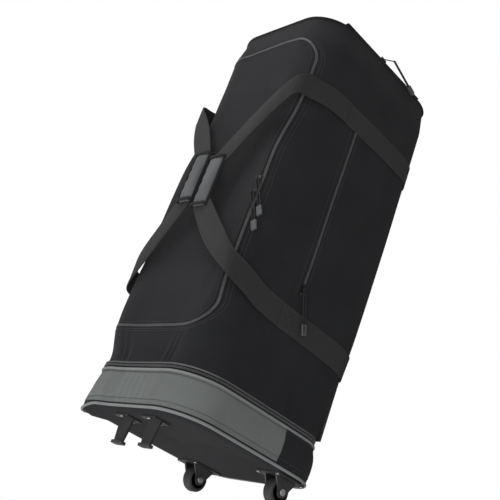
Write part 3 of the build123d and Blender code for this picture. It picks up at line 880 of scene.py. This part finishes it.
def evenly(points, pitch):
    """Walk a line of (point, normal) pairs in equal steps."""
    walked, found = 0.0, [points[0]]
    goal = pitch
    for (p, n), (q, m) in zip(points, points[1:]):
        run = (q - p).length
        while run > 0 and walked + run >= goal:
            t = (goal - walked) / run
            found.append((p.lerp(q, t), n.lerp(m, t).normalized()))
            goal += pitch
        walked += run
    return found


def run_of(line, i):
    """The direction of a line at one of its points."""
    return (line[min(i + 1, len(line) - 1)][0] - line[max(i - 1, 0)][0]).normalized()


def shifted(line, sideways, lift=0.0):
    """The same line moved sideways on its surface, and up from it."""
    moved = []
    for i, (point, normal) in enumerate(line):
        side = run_of(line, i).cross(normal).normalized()
        moved.append((point + side * sideways + normal * lift, normal))
    return moved


def tube(name, line, radius, sides=10, flat=1.0, closed=False):
    """A tube along a line, flattened against the surface by flat."""
    steps = len(line) - 1
    gone = [0.0]
    for (p, _), (q, _) in zip(line, line[1:]):
        gone.append(gone[-1] + (q - p).length)
    wide = math.tau * radius

    def place(u, v):
        i = round(u * steps)
        point, normal = line[i]
        if closed:
            run = (line[(i + 1) % steps][0] - line[(i - 1) % steps][0]).normalized()
        else:
            run = run_of(line, i)
        side = run.cross(normal).normalized()
        up = side.cross(run)
        size = 0.0 if not closed and i in (0, steps) else radius
        a = math.tau * v
        return point + size * (side * math.cos(a) + up * flat * math.sin(a))

    return smooth(laid_grid(name, steps, sides, place, gone[-1], wide), 70)


def ribbon(name, line, width, thickness, columns=6, offset=0.0, crown=0.0):
    """A flat strip along a line, with its thickness."""
    steps = len(line) - 1
    length = sum((q - p).length for (p, _), (q, _) in zip(line, line[1:]))

    def place(u, v):
        point, normal = line[round(u * steps)]
        side = run_of(line, round(u * steps)).cross(normal).normalized()
        across = v - 0.5
        lift = crown * (1 - (2 * across) ** 2)
        return point + side * across * width + normal * lift

    strip = laid_grid(name, steps, columns, place, length, width)
    swap_uv(strip)
    modify(strip, "SOLIDIFY", thickness=thickness, offset=offset, use_even_offset=True)
    return smooth(tidy(strip), 50)


def swap_uv(obj):
    """Webbing's pattern runs with U across and V along."""
    for loop in obj.data.uv_layers.active.data:
        loop.uv = (loop.uv.y, loop.uv.x)


print("the zip's near line is at s =", round(find_s(0.0, lid_near, 1, 0.37, 0.63), 3))

# %% [markdown]
# Teeth and stitches are the same small block, repeated. They are made in one mesh, because a
# thousand separate objects would be slow to join. A stitch is a short dash of thread.

# %% Teeth and stitches
STITCH_PITCH = 0.0046
STITCH_SIZE = (0.0032, 0.0007, 0.0007)
THREAD_LIFT = 0.0004  # how far thread stands off the cloth


def blocks_along(name, line, pitch, size, bevel=0.0):
    """Small blocks at equal steps, such as teeth or stitches: size is along, across and high."""
    mesh = bmesh.new()
    walked = evenly(line, pitch)
    for i, (point, normal) in enumerate(walked):
        run = run_of(walked, i)
        side = run.cross(normal).normalized()
        turned = Matrix((run * size[0], side * size[1], normal * size[2])).transposed().to_4x4()
        bmesh.ops.create_cube(mesh, size=1.0, matrix=Matrix.Translation(point) @ turned)
    data = bpy.data.meshes.new(name)
    mesh.to_mesh(data)
    mesh.free()
    obj = bpy.data.objects.new(name, data)
    bpy.context.collection.objects.link(obj)
    if bevel:
        modify(obj, "BEVEL", width=bevel, segments=1)
    return tidy(obj, 0.000001)


def stitches(name, lines, body):
    """Rows of thread as one piece."""
    rows = [blocks_along(name, line, STITCH_PITCH, STITCH_SIZE) for line in lines]
    return finish(join(name, rows), thread, "webbing", body)


# %% [markdown]
# ## Piping
# Two grey cords sewn into a fold of cloth run right round the bag on both sides of the grey
# band, and a thinner black one runs on the far side of the compartment's zip.

# %% Piping round the compartment
WHEEL_PIPING = 0.0027
SEAM_PIPING = 0.0026
THIN_PIPING = 0.0017
FAR_BINDING = 0.0022


def ring_line(x, lift, steps=300):
    """A line right round the bag at one place along it, lifted off the skin."""
    line = []
    for i in range(steps + 1):
        point, normal = spot(x, i / steps % 1.0)
        line.append((point + normal * lift, normal))
    return line


def end_ring(direction, steps=300):
    """The line where an end panel meets the skin."""
    x = wheel_end + END_CROWN if direction < 0 else far_end - END_CROWN
    line = []
    for i in range(steps + 1):
        point, normal = spot(x, i / steps % 1.0)
        normal = (normal + Vector((direction * 0.9, 0, 0))).normalized()
        line.append((point + normal * 0.0005 + Vector((direction * 0.001, 0, 0)), normal))
    return line


wheel_piping = tube("piping_wheel_end", end_ring(-1), WHEEL_PIPING, closed=True)
finish(wheel_piping, piping_cloth, "piping", "root", "wheel_end_piping")
seam_ring = ring_line(seam - 0.0018, 0.0008)
seam_piping = tube("piping_compartment", seam_ring, SEAM_PIPING, closed=True)
finish(seam_piping, piping_cloth, "piping", "root", "compartment_piping")
thin_ring = ring_line(body_start, 0.0003)
thin_piping = tube("piping_body_start", thin_ring, THIN_PIPING, 8, closed=True)
finish(thin_piping, teeth_plastic, "piping", "root")
far_seam = tube("seam_far_end", end_ring(1), FAR_BINDING, 8, closed=True)
finish(far_seam, binding_cloth, "body_fabric", "root")
band_rows = [ring_line(x, 0.0002) for x in (wheel_end + 0.019, seam - 0.0075)]
stitches("stitches_band", band_rows, "root")
print("piping done")

# %% [markdown]
# ## Zips
# Each zip is two woven tapes with a row of moulded teeth on each. The lid's inner row rides the
# lid and its outer row stays, so the mouth opens cleanly.

# %% The lid's zip


def lid_line(outset, spacing=0.004):
    """The lid's outline on the skin, from the hinge round the near edge and back."""
    x0, x1 = lid_x0 + ZIP_WIDTH - outset, lid_x1 - ZIP_WIDTH + outset
    near, radius = lid_near - outset, LID_CORNER + outset
    flat = []
    for i in range(46):
        flat.append((x0, mix(hinge_y, near + radius, i / 46)))
    for i in range(25):
        a = math.pi / 2 * i / 24
        flat.append((x0 + radius - radius * math.cos(a), near + radius - radius * math.sin(a)))
    for i in range(1, 130):
        flat.append((mix(x0 + radius, x1 - radius, i / 130), near))
    for i in range(25):
        a = math.pi / 2 * (1 - i / 24)
        flat.append((x1 - radius + radius * math.cos(a), near + radius - radius * math.sin(a)))
    for i in range(1, 47):
        flat.append((x1, mix(near + radius, hinge_y, i / 46)))
    return evenly([on_top(x, y) for x, y in flat], spacing)


def zip_half(name, line, side, body, node, pitch=0.0024):
    """One tape and its teeth, on one side of a zip's middle line."""
    tape = ribbon(name + "_tape", shifted(line, side * 0.0031, -0.0007), 0.0062, 0.0008, 2)
    finish(tape, tape_cloth, "zip_teeth", body, node)
    teeth = blocks_along(name + "_teeth", shifted(line, side * 0.0014, 0.0002), pitch,
                         (pitch * 0.6, 0.0027, 0.0017), 0.0002)
    finish(teeth, teeth_plastic, "zip_teeth", body)
    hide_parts(node)


zip_line = lid_line(0.0)
zip_half("zip_lid_inner", zip_line, 1, "lid", "lid_zip_inner")
zip_half("zip_lid_outer", zip_line, -1, "root", "lid_zip_outer")
TAPE_EDGE = 0.0075  # from the zip's middle to the seam beside its tape
SECOND_ROW = 0.0115
stitches("stitches_lid", [shifted(lid_line(-TAPE_EDGE)[3:-3], 0, THREAD_LIFT)], "lid")
mouth_rows = [shifted(lid_line(outset), 0, THREAD_LIFT) for outset in (TAPE_EDGE, SECOND_ROW)]
stitches("stitches_mouth", mouth_rows, "root")
print("lid zip", round(len(zip_line) * 0.004, 2), "m long")

# %% [markdown]
# The pocket's zip runs along the near side between two welts, folds of cloth that half hide it.
# The far-end pocket's zip runs straight up the end panel, and the compartment's runs up one side
# of the bag, over the top and down the other.

# %% Zips in the panels
pocket_z = middle("pocket_zip").z
pocket_x = (low("pocket_zip").x, high("pocket_zip").x)


def pocket_route(shift=0.0, extra=0.0):
    """The side pocket's zip: straight along the bag, on the bulge of the cloth."""
    line = []
    for i in range(101):
        x = mix(pocket_x[0] - extra, pocket_x[1] + extra, i / 100)
        line.append(on_side(x, pocket_z + shift))
    return line


pocket_line = shifted(evenly(pocket_route(), 0.004), 0, 0.0009)
zip_half("zip_pocket_upper", pocket_line, 1, "root", "pocket_zip")
zip_half("zip_pocket_lower", pocket_line, -1, "root", "pocket_zip")
welt = tube("pocket_welt", evenly(pocket_route(0.0068, 0.004), 0.005), 0.0031, 10, 0.55)
finish(welt, body_cloth, "body_fabric", "root")
lower_route = evenly(pocket_route(-0.0066, 0.004), 0.005)
lower_welt = tube("pocket_welt_lower", lower_route, 0.0022, 10, 0.5)
finish(lower_welt, body_cloth, "body_fabric", "root")
pocket_rows = [shifted(pocket_route(shift, 0.006), 0, THREAD_LIFT) for shift in (0.0125, -0.0105)]
stitches("stitches_pocket", pocket_rows, "root")


def end_line(spacing=0.004):
    """The far-end pocket's zip, straight up the end panel near its near edge."""
    y = middle("far_end_zip").y
    top, bottom = high("far_end_zip").z, low("far_end_zip").z
    line = []
    for i in range(101):
        z = mix(bottom, top, i / 100)
        line.append((Vector((far_end - 0.0008, y, z)), Vector((1, 0, 0))))
    return evenly(line, spacing)


for side, label in ((1, "outer"), (-1, "inner")):
    zip_half("zip_far_end_" + label, shifted(end_line(), 0, 0.0002), side, "root", "far_end_zip")
inner_row = [(point + Vector((0.0006, 0.010, 0)), normal) for point, normal in end_line()]
stitches("stitches_far_end", [inner_row], "root")

chain_x = (seam + body_start) / 2
start_s = find_s(chain_x, low("compartment_zip").z, 2, 0.05, 0.49)
ring_side = [spot(chain_x, mix(start_s, 1 - start_s, i / 400)) for i in range(401)]
for side in (1, -1):
    row_line = shifted(evenly(ring_side, 0.004), side * 0.0011, 0.0004)
    row = blocks_along("zip_compartment_teeth", row_line, 0.0024, (0.0013, 0.0021, 0.0016), 0.0002)
    finish(row, teeth_plastic, "zip_teeth", "root", "compartment_zip")
print("zips done")

# %% [markdown]
# ## Webbing handles
# Each leg starts under the bag, turns up round the bottom edge and is sewn flat to the side.
# Above the last box of stitches the strap is free: it goes over the lid's edge, turns, and ends
# in a padded grip.

# %% The sewn legs
LEG_THICKNESS = 0.0023
BOX_SIZE = 0.040  # the side of a box of stitches


def leg_line(x, far):
    """From the tucked end under the bag up to the top of the sewn part."""
    first = PART_ENDS[1] * 120 / 131  # just short of the bottom corner
    top = find_s(x, leg_top, 2, 0.05, 0.49)
    line = []
    for i in range(91):
        s = mix(first, top, i / 90)
        point, normal = spot(x, 1 - s if far else s)
        line.append((point + normal * 0.0012, normal))
    return line


def box_stitch(name, line, width, height, body):
    """A square of stitches with a cross, sewn through a strap near the end of a line."""
    end, normal = line[-1]
    run = (end - line[-4][0]).normalized()
    side = run.cross(normal).normalized()

    def place(a, b):
        return end + side * a * (width / 2) - run * (0.005 + b * height) + normal * 0.0013

    corners = [place(-1, 0), place(1, 0), place(1, 1), place(-1, 1), place(-1, 0)]
    routes = list(zip(corners, corners[1:])) + [(corners[0], corners[2]), (corners[1], corners[3])]
    rows = []
    for a, b in routes:
        rows.append([(a.lerp(b, t / 8), normal) for t in range(9)])
    return stitches(name, rows, body)


for far, label in ((False, "near"), (True, "far")):
    for end, x in web_x.items():
        line = leg_line(x, far)
        leg = ribbon("leg_" + label + "_" + end, line, leg_width, LEG_THICKNESS, 8)
        finish(leg, webbing, "webbing", "root", label + "_web_legs")
        box_stitch("box_" + label + "_" + end, line, BOX_SIZE, BOX_SIZE, "root")
        edges = [shifted(line[24:-8], side * 0.021, 0.0012) for side in (-1, 1)]
        stitches("stitches_leg_" + label + "_" + end, edges, "root")
print("legs up to", round(leg_top, 3))

# %% [markdown]
# The free part of a strap passes through a few cut ends, each a middle and a direction across.
# A smooth curve through them makes the webbing rise, turn and narrow as it enters the grip.

# %% The free straps


def curve_through(points, t):
    """A smooth curve through a list of vectors: t runs from 0 to 1."""
    count = len(points) - 1
    i = min(int(t * count), count - 1)
    f = t * count - i
    before = points[max(i - 1, 0)]
    a, b = points[i], points[i + 1]
    after = points[min(i + 2, count)]
    return 0.5 * ((2 * a) + (b - before) * f + (2 * before - 5 * a + 4 * b - after) * f * f
                  + (3 * a - before - 3 * b + after) * f**3)


CREST_SHIFT = 0.034  # how far a strap has moved towards the grip where it crosses the lid's edge
NEAR_CREST = (0.015, 0.155)  # height over the lid and distance from the middle: clear of the sliders
FAR_CREST = (0.006, 0.151)  # the far straps lie closer
MID_TURN = math.radians(28)
ROOT_TURN = math.radians(52)
ROOT_NARROWING = 0.84
STRAP_THICKNESS = 0.0022
STRAP_LENGTH = 0.36


def strap_route(side, end, x, grip):
    """The middles and cross directions of a strap's cuts: side is -1 near, end is -1 at the wheels."""
    sewn = on_side(x, leg_top, side > 0)[0]
    outer = side * max(half_width + 0.0016, abs(sewn.y) + 0.0030)
    grip_middle = middle(grip)
    reach = (high(grip).x - low(grip).x) / 2
    root_x = grip_middle.x + end * (reach - 0.014)
    rise, lean_in = NEAR_CREST if side < 0 else FAR_CREST
    crest = Vector((x - end * CREST_SHIFT, side * lean_in, lid_z + rise))
    mid = Vector((mix(crest.x, root_x, 0.45), side * (0.155 + abs(grip_middle.y)) / 2,
                  (crest.z + grip_middle.z) / 2 + 0.003))
    middles = [
        Vector((x, outer, leg_top + 0.0005)),
        Vector((x - end * 0.004, outer, mix(leg_top, lid_z, 0.4))),
        Vector((x - end * 0.017, outer - side * 0.0005, lid_z - 0.030)),
        crest, mid,
        Vector((root_x, grip_middle.y, grip_middle.z)),
    ]
    across = [Vector((1, 0, 0))] * 4
    across += [Vector((math.cos(a), -side * end * math.sin(a), 0)) for a in (MID_TURN, ROOT_TURN)]
    return middles, across


def strap_place(middles, across):
    """The function that lays a strap out: u runs along it and v across."""
    widths = [Vector((w, 0, 0)) for w in (1, 1, 1, 1, 1, ROOT_NARROWING)]

    def place(u, v):
        direction = curve_through(across, u).normalized()
        wide = leg_width * curve_through(widths, u).x
        ripple = 0.0016 * math.sin(u * 17 + v * 2.5) * math.sin(math.pi * u)
        droop = -0.0022 * (2 * v - 1) ** 2 * ease((u - 0.5) / 0.2)
        a = (v - 0.5) * wide
        lift = Vector((0, 0, ripple * ease((u - 0.45) / 0.2) + droop))
        return curve_through(middles, u) + direction * a + lift

    return place


def edge_row(place, v, side):
    """A row of thread along a strap, at a share of its width."""
    row = []
    for i in range(71):
        u = 0.02 + 0.93 * i / 70
        point = place(u, v)
        inwards = place(u, v + 0.05) - point
        normal = inwards.cross(place(min(u + 0.01, 1), v) - point).normalized()
        if normal.dot(Vector((0, side, 1.2))) < 0:
            normal = -normal
        row.append((point + normal * 0.0012, normal))
    return row


def free_strap(name, side, end, x, label, node):
    """side is -1 near and 1 far; end is -1 at the wheel end and 1 at the far end."""
    place = strap_place(*strap_route(side, end, x, label + "_grip"))
    strip = laid_grid(name, 80, 8, place, STRAP_LENGTH, leg_width)
    swap_uv(strip)
    modify(strip, "SOLIDIFY", thickness=STRAP_THICKNESS, offset=0.0, use_even_offset=True)
    smooth(tidy(strip), 60)
    finish(strip, webbing, "webbing", label + "_handle", node)
    rows = [edge_row(place, v, side) for v in (0.08, 0.92)]
    stitches("stitches_" + name, rows, label + "_handle")


for side, label in ((-1, "near"), (1, "far")):
    for end, end_name in ((-1, "wheel_end"), (1, "far_end")):
        free_strap("strap_" + label + "_" + end_name, side, end, web_x[end_name], label,
                   label + "_strap_" + end_name)
print("straps done")

# %% [markdown]
# ## Padded grips
# A grip is a foam pad sewn between two layers of grey cloth with a black binding. The pad starts
# as a closed flat form. A short cloth simulation with air pressure inside then swells it between
# its seams, as stuffing would, and the result is kept as the mesh.

# %% Pads that are blown up


def pad_form(name, centre, length, width, thickness, bend):
    """A closed pad with rounded corners, wrapped a little round its own length."""

    def place(u, v):
        a = math.tau * v
        end = math.sqrt(max(0.0, 1 - abs(2 * u - 1) ** 9))
        y = math.copysign(abs(math.cos(a)) ** 0.45, math.cos(a)) * width / 2 * (0.86 + 0.14 * end)
        z = math.copysign(abs(math.sin(a)) ** 0.7, math.sin(a)) * thickness / 2 * end
        z -= bend * (2 * y / width) ** 2
        if end == 0:
            y *= 0.9
        crease = 0.0009 * math.sin(u * 34 + v * 9) * math.sin(math.pi * u)
        return centre + Vector(((u - 0.5) * length, y, z + crease * abs(math.sin(a))))

    return smooth(laid_grid(name, 56, 40, place, length, 2 * width), 80)


SWELL_LIMIT = 0.003


def blow_up(obj, pressure, size):
    """Swell a closed piece by a cloth simulation and keep the result, within a small distance."""
    modify(obj, "REMESH", mode="VOXEL", voxel_size=size)
    rest = [v.co.copy() for v in obj.data.vertices]
    pick(obj)
    cloth_modifier = obj.modifiers.new("cloth", "CLOTH")
    settings = cloth_modifier.settings
    settings.quality = 5
    settings.use_pressure = True
    settings.uniform_pressure_force = pressure
    settings.effector_weights.gravity = 0.0
    settings.tension_stiffness = 15
    settings.bending_stiffness = 0.5
    scene = bpy.context.scene
    for frame_number in range(1, 21):
        scene.frame_set(frame_number)
    bpy.ops.object.modifier_apply(modifier=cloth_modifier.name)
    scene.frame_set(1)
    for vertex, start in zip(obj.data.vertices, rest):
        moved = vertex.co - start
        if moved.length > SWELL_LIMIT:
            vertex.co = start + moved.normalized() * SWELL_LIMIT
    return smooth(obj, 80)


def map_metres(obj):
    """Lay a UV map in metres from above, for pieces that have lost theirs."""
    if not obj.data.uv_layers:
        obj.data.uv_layers.new(name="UVMap")
    layer = obj.data.uv_layers.active.data
    for loop in obj.data.loops:
        co = obj.data.vertices[loop.vertex_index].co
        layer[loop.index].uv = (co.x, co.y + co.z)
    return obj


# %% [markdown]
# The pad's raw edges are hidden by black binding: a band round each end, where the webbing comes
# out, and a narrow strip along each long side.

# %% The grips with their binding
BINDING_INSET = 0.0015


def end_binding(name, centre, reach, width):
    """A flattened band round the pad, at a distance from its middle."""
    line = []
    for i in range(61):
        a = math.tau * i / 60
        y = math.copysign(abs(math.cos(a)) ** 0.45, math.cos(a)) * (width / 2 - BINDING_INSET)
        z = math.copysign(abs(math.sin(a)) ** 0.7, math.sin(a)) * 0.0066
        normal = Vector((0, math.cos(a), math.sin(a) * 1.5)).normalized()
        line.append((centre + Vector((reach, y, z)), normal))
    return tube(name, line, 0.0042, 8, 0.4, True)


def edge_binding(name, node, edge, width):
    """A narrow strip along one long side of the pad."""
    centre = middle(node)
    y = centre.y + edge * (width / 2 - BINDING_INSET)
    line = []
    for i in range(41):
        x = mix(low(node).x + 0.006, high(node).x - 0.006, i / 40)
        line.append((Vector((x, y, centre.z - 0.001)), Vector((0, edge, 0))))
    return tube(name, line, 0.0046, 8, 0.35)


for label in ("near", "far"):
    node = label + "_grip"
    centre = middle(node)
    length = high(node).x - low(node).x
    width = high(node).y - low(node).y
    pad = pad_form("pad_" + label, centre, length - 0.004, width - 0.005, 0.0105, 0.0015)
    map_metres(blow_up(pad, 4.0, 0.0035))
    finish(pad, grip_cloth, "grip_fabric", label + "_handle", node)
    for end, mark in ((-1, "_a"), (1, "_b")):
        ring = end_binding("binding_" + label + mark, centre, end * (length / 2 - 0.006), width)
        finish(ring, binding_cloth, "grip_fabric", label + "_handle", node)
    for edge, mark in ((-1, "_a"), (1, "_b")):
        strip = edge_binding("edge_" + label + mark, node, edge, width)
        finish(strip, binding_cloth, "grip_fabric", label + "_handle", node)
print("grips done")

# %% [markdown]
# ## Fittings
# Sliders, wheels, housings and feet are hard, so their shape is the CAD's. Each gets a copy of
# its mesh with the doubles merged and its edges rounded, so that they catch the light.

# %% Copies of the hard parts with softer edges


def finer(node, material, slot, bevel, segments=2, angle=35):
    """A copy of a CAD piece, with its doubles merged and its edges rounded."""
    source = bpy.data.objects[node]
    body = source.parent.name.replace("body:", "")
    piece = copy_of(source, "fine_" + node)
    matrix = source.matrix_world.copy()
    piece.parent = None
    piece.matrix_world = matrix
    settle(piece)
    tidy(piece)
    edit_all(piece, lambda: bpy.ops.mesh.dissolve_limited(angle_limit=math.radians(1)))
    if bevel:
        modify(piece, "BEVEL", width=bevel, segments=segments, limit_method="ANGLE",
               angle_limit=math.radians(angle), harden_normals=False)
    if material == webbing:
        map_metres(piece)
    smooth(piece, angle)
    return finish(piece, material, slot, body, node)


hard_parts = [
    ("wheel_axles", steel, "fastener", 0.0006),
    ("near_wheel_housing", black_plastic, "moulding", 0.0008),
    ("far_wheel_housing", black_plastic, "moulding", 0.0008),
    ("stand_feet", black_plastic, "moulding", 0.0008),
    ("skid_rails", black_plastic, "moulding", 0.0012),
    ("skid_rivets", steel, "fastener", 0.0003),
    ("panel_screws", steel, "fastener", 0.0004),
    ("tow_tabs", webbing, "webbing", 0.0003),
    ("tow_handle", black_plastic, "moulding", 0.0012),
    ("near_bearings", steel, "bearing_steel", 0.0003),
    ("far_bearings", steel, "bearing_steel", 0.0003),
    ("near_hub", hub_plastic, "hub", 0.0006),
    ("far_hub", hub_plastic, "hub", 0.0006),
    ("near_tyre", tyre_rubber, "tyre", 0.0006),
    ("far_tyre", tyre_rubber, "tyre", 0.0006),
]
zip_fittings = ["lid_{}_far", "lid_{}_wheel", "pocket_{}", "compartment_{}", "far_end_{}"]
for part, material, slot, bevel in (
    ("slider", slider_enamel, "slider_metal", 0.0005),
    ("pull_cord", cord_cloth, "cord", 0.0),
    ("pull_tip", pull_rubber, "pull_rubber", 0.0),
):
    hard_parts += [(pattern.format(part), material, slot, bevel) for pattern in zip_fittings]
for node, material, slot, bevel in hard_parts:
    finer(node, material, slot, bevel)
print("fittings done:", len(hard_parts))

# %% [markdown]
# ## The inside
# Behind the cloth are the divider, two stiffening boards and two pocket bags. The divider and
# the wheel-end board follow the rounded section, a little inside it.

# %% Inner boards and linings


def section_sheet(name, x, inset, thickness):
    """A flat sheet across the bag with the outline of its rounded section."""

    def place(u, v):
        ring_y, ring_z = skin(x, v, inset).yz
        return Vector((x, ring_y * u, centre_z + (ring_z - centre_z) * u))

    sheet = laid_grid(name, 10, 120, place, 0.18, 1.3)
    modify(sheet, "SOLIDIFY", thickness=thickness, offset=0.0)
    return smooth(tidy(sheet), 40)


divider = section_sheet("inner_divider", middle("divider").x, 0.0045, 0.0016)
finish(divider, lining_cloth, "lining", "root", "divider")
end_board = section_sheet("inner_end_board", middle("wheel_end_board").x, 0.012, 0.0035)
finish(end_board, board_plastic, "board", "root", "wheel_end_board")
finer("base_board", board_plastic, "board", 0.001)
print("boards and divider done")

# %% [markdown]
# A pocket's lining is a flat bag sewn in behind its zip. It is made as a closed form with round
# ends, and a wave in its thickness makes it look slack.

# %% The pockets' linings


def pouch(name, corner, other, node):
    """A slack flat bag behind a zip, between two corners, with soft folds across it."""
    a, b = Vector(corner), Vector(other)
    size = b - a
    flat_axis = min(range(3), key=lambda i: abs(size[i]))
    wide, tall = [i for i in range(3) if i != flat_axis]

    def place(u, v):
        t = math.tau * v
        point = (a + b) / 2
        rim = math.sqrt(max(0.0, 1 - abs(2 * u - 1) ** 8))
        across = math.copysign(abs(math.cos(t)) ** 0.35, math.cos(t))
        thick = math.sin(t) * rim
        point[tall] += (u - 0.5) * size[tall]
        point[wide] += across * size[wide] / 2 * (0.9 + 0.1 * rim)
        wave = 0.7 + 0.3 * math.sin(u * 9 + across * 5)
        point[flat_axis] += thick * wave * size[flat_axis] / 2
        return point

    bag_piece = smooth(laid_grid(name, 40, 48, place, abs(size[tall]), 2 * abs(size[wide])), 80)
    return finish(bag_piece, lining_cloth, "lining", "root", node)


pocket_low, pocket_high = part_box("pocket_lining")
pouch("pouch_side",
      (pocket_low[0], 0.0065 - half_width, pocket_low[2]),
      (pocket_high[0], 0.015 - half_width, pocket_high[2] - 0.004), "pocket_lining")
end_low, end_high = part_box("far_end_pocket_lining")
pouch("pouch_far_end",
      (far_end - 0.014, 0.017 - half_width, end_low[2] + 0.006),
      (far_end - 0.0045, end_high[1], end_high[2] - 0.006), "far_end_pocket_lining")
print("linings done")

# %% [markdown]
# ## Finish
# Anything of the CAD that is still shown gets a material too.

# %% Leftovers
for node in frame["nodes"]:
    source = bpy.data.objects[node]
    if not source.data.materials or source.data.materials[0] is None:
        source.data.materials.clear()
        source.data.materials.append(black_plastic)
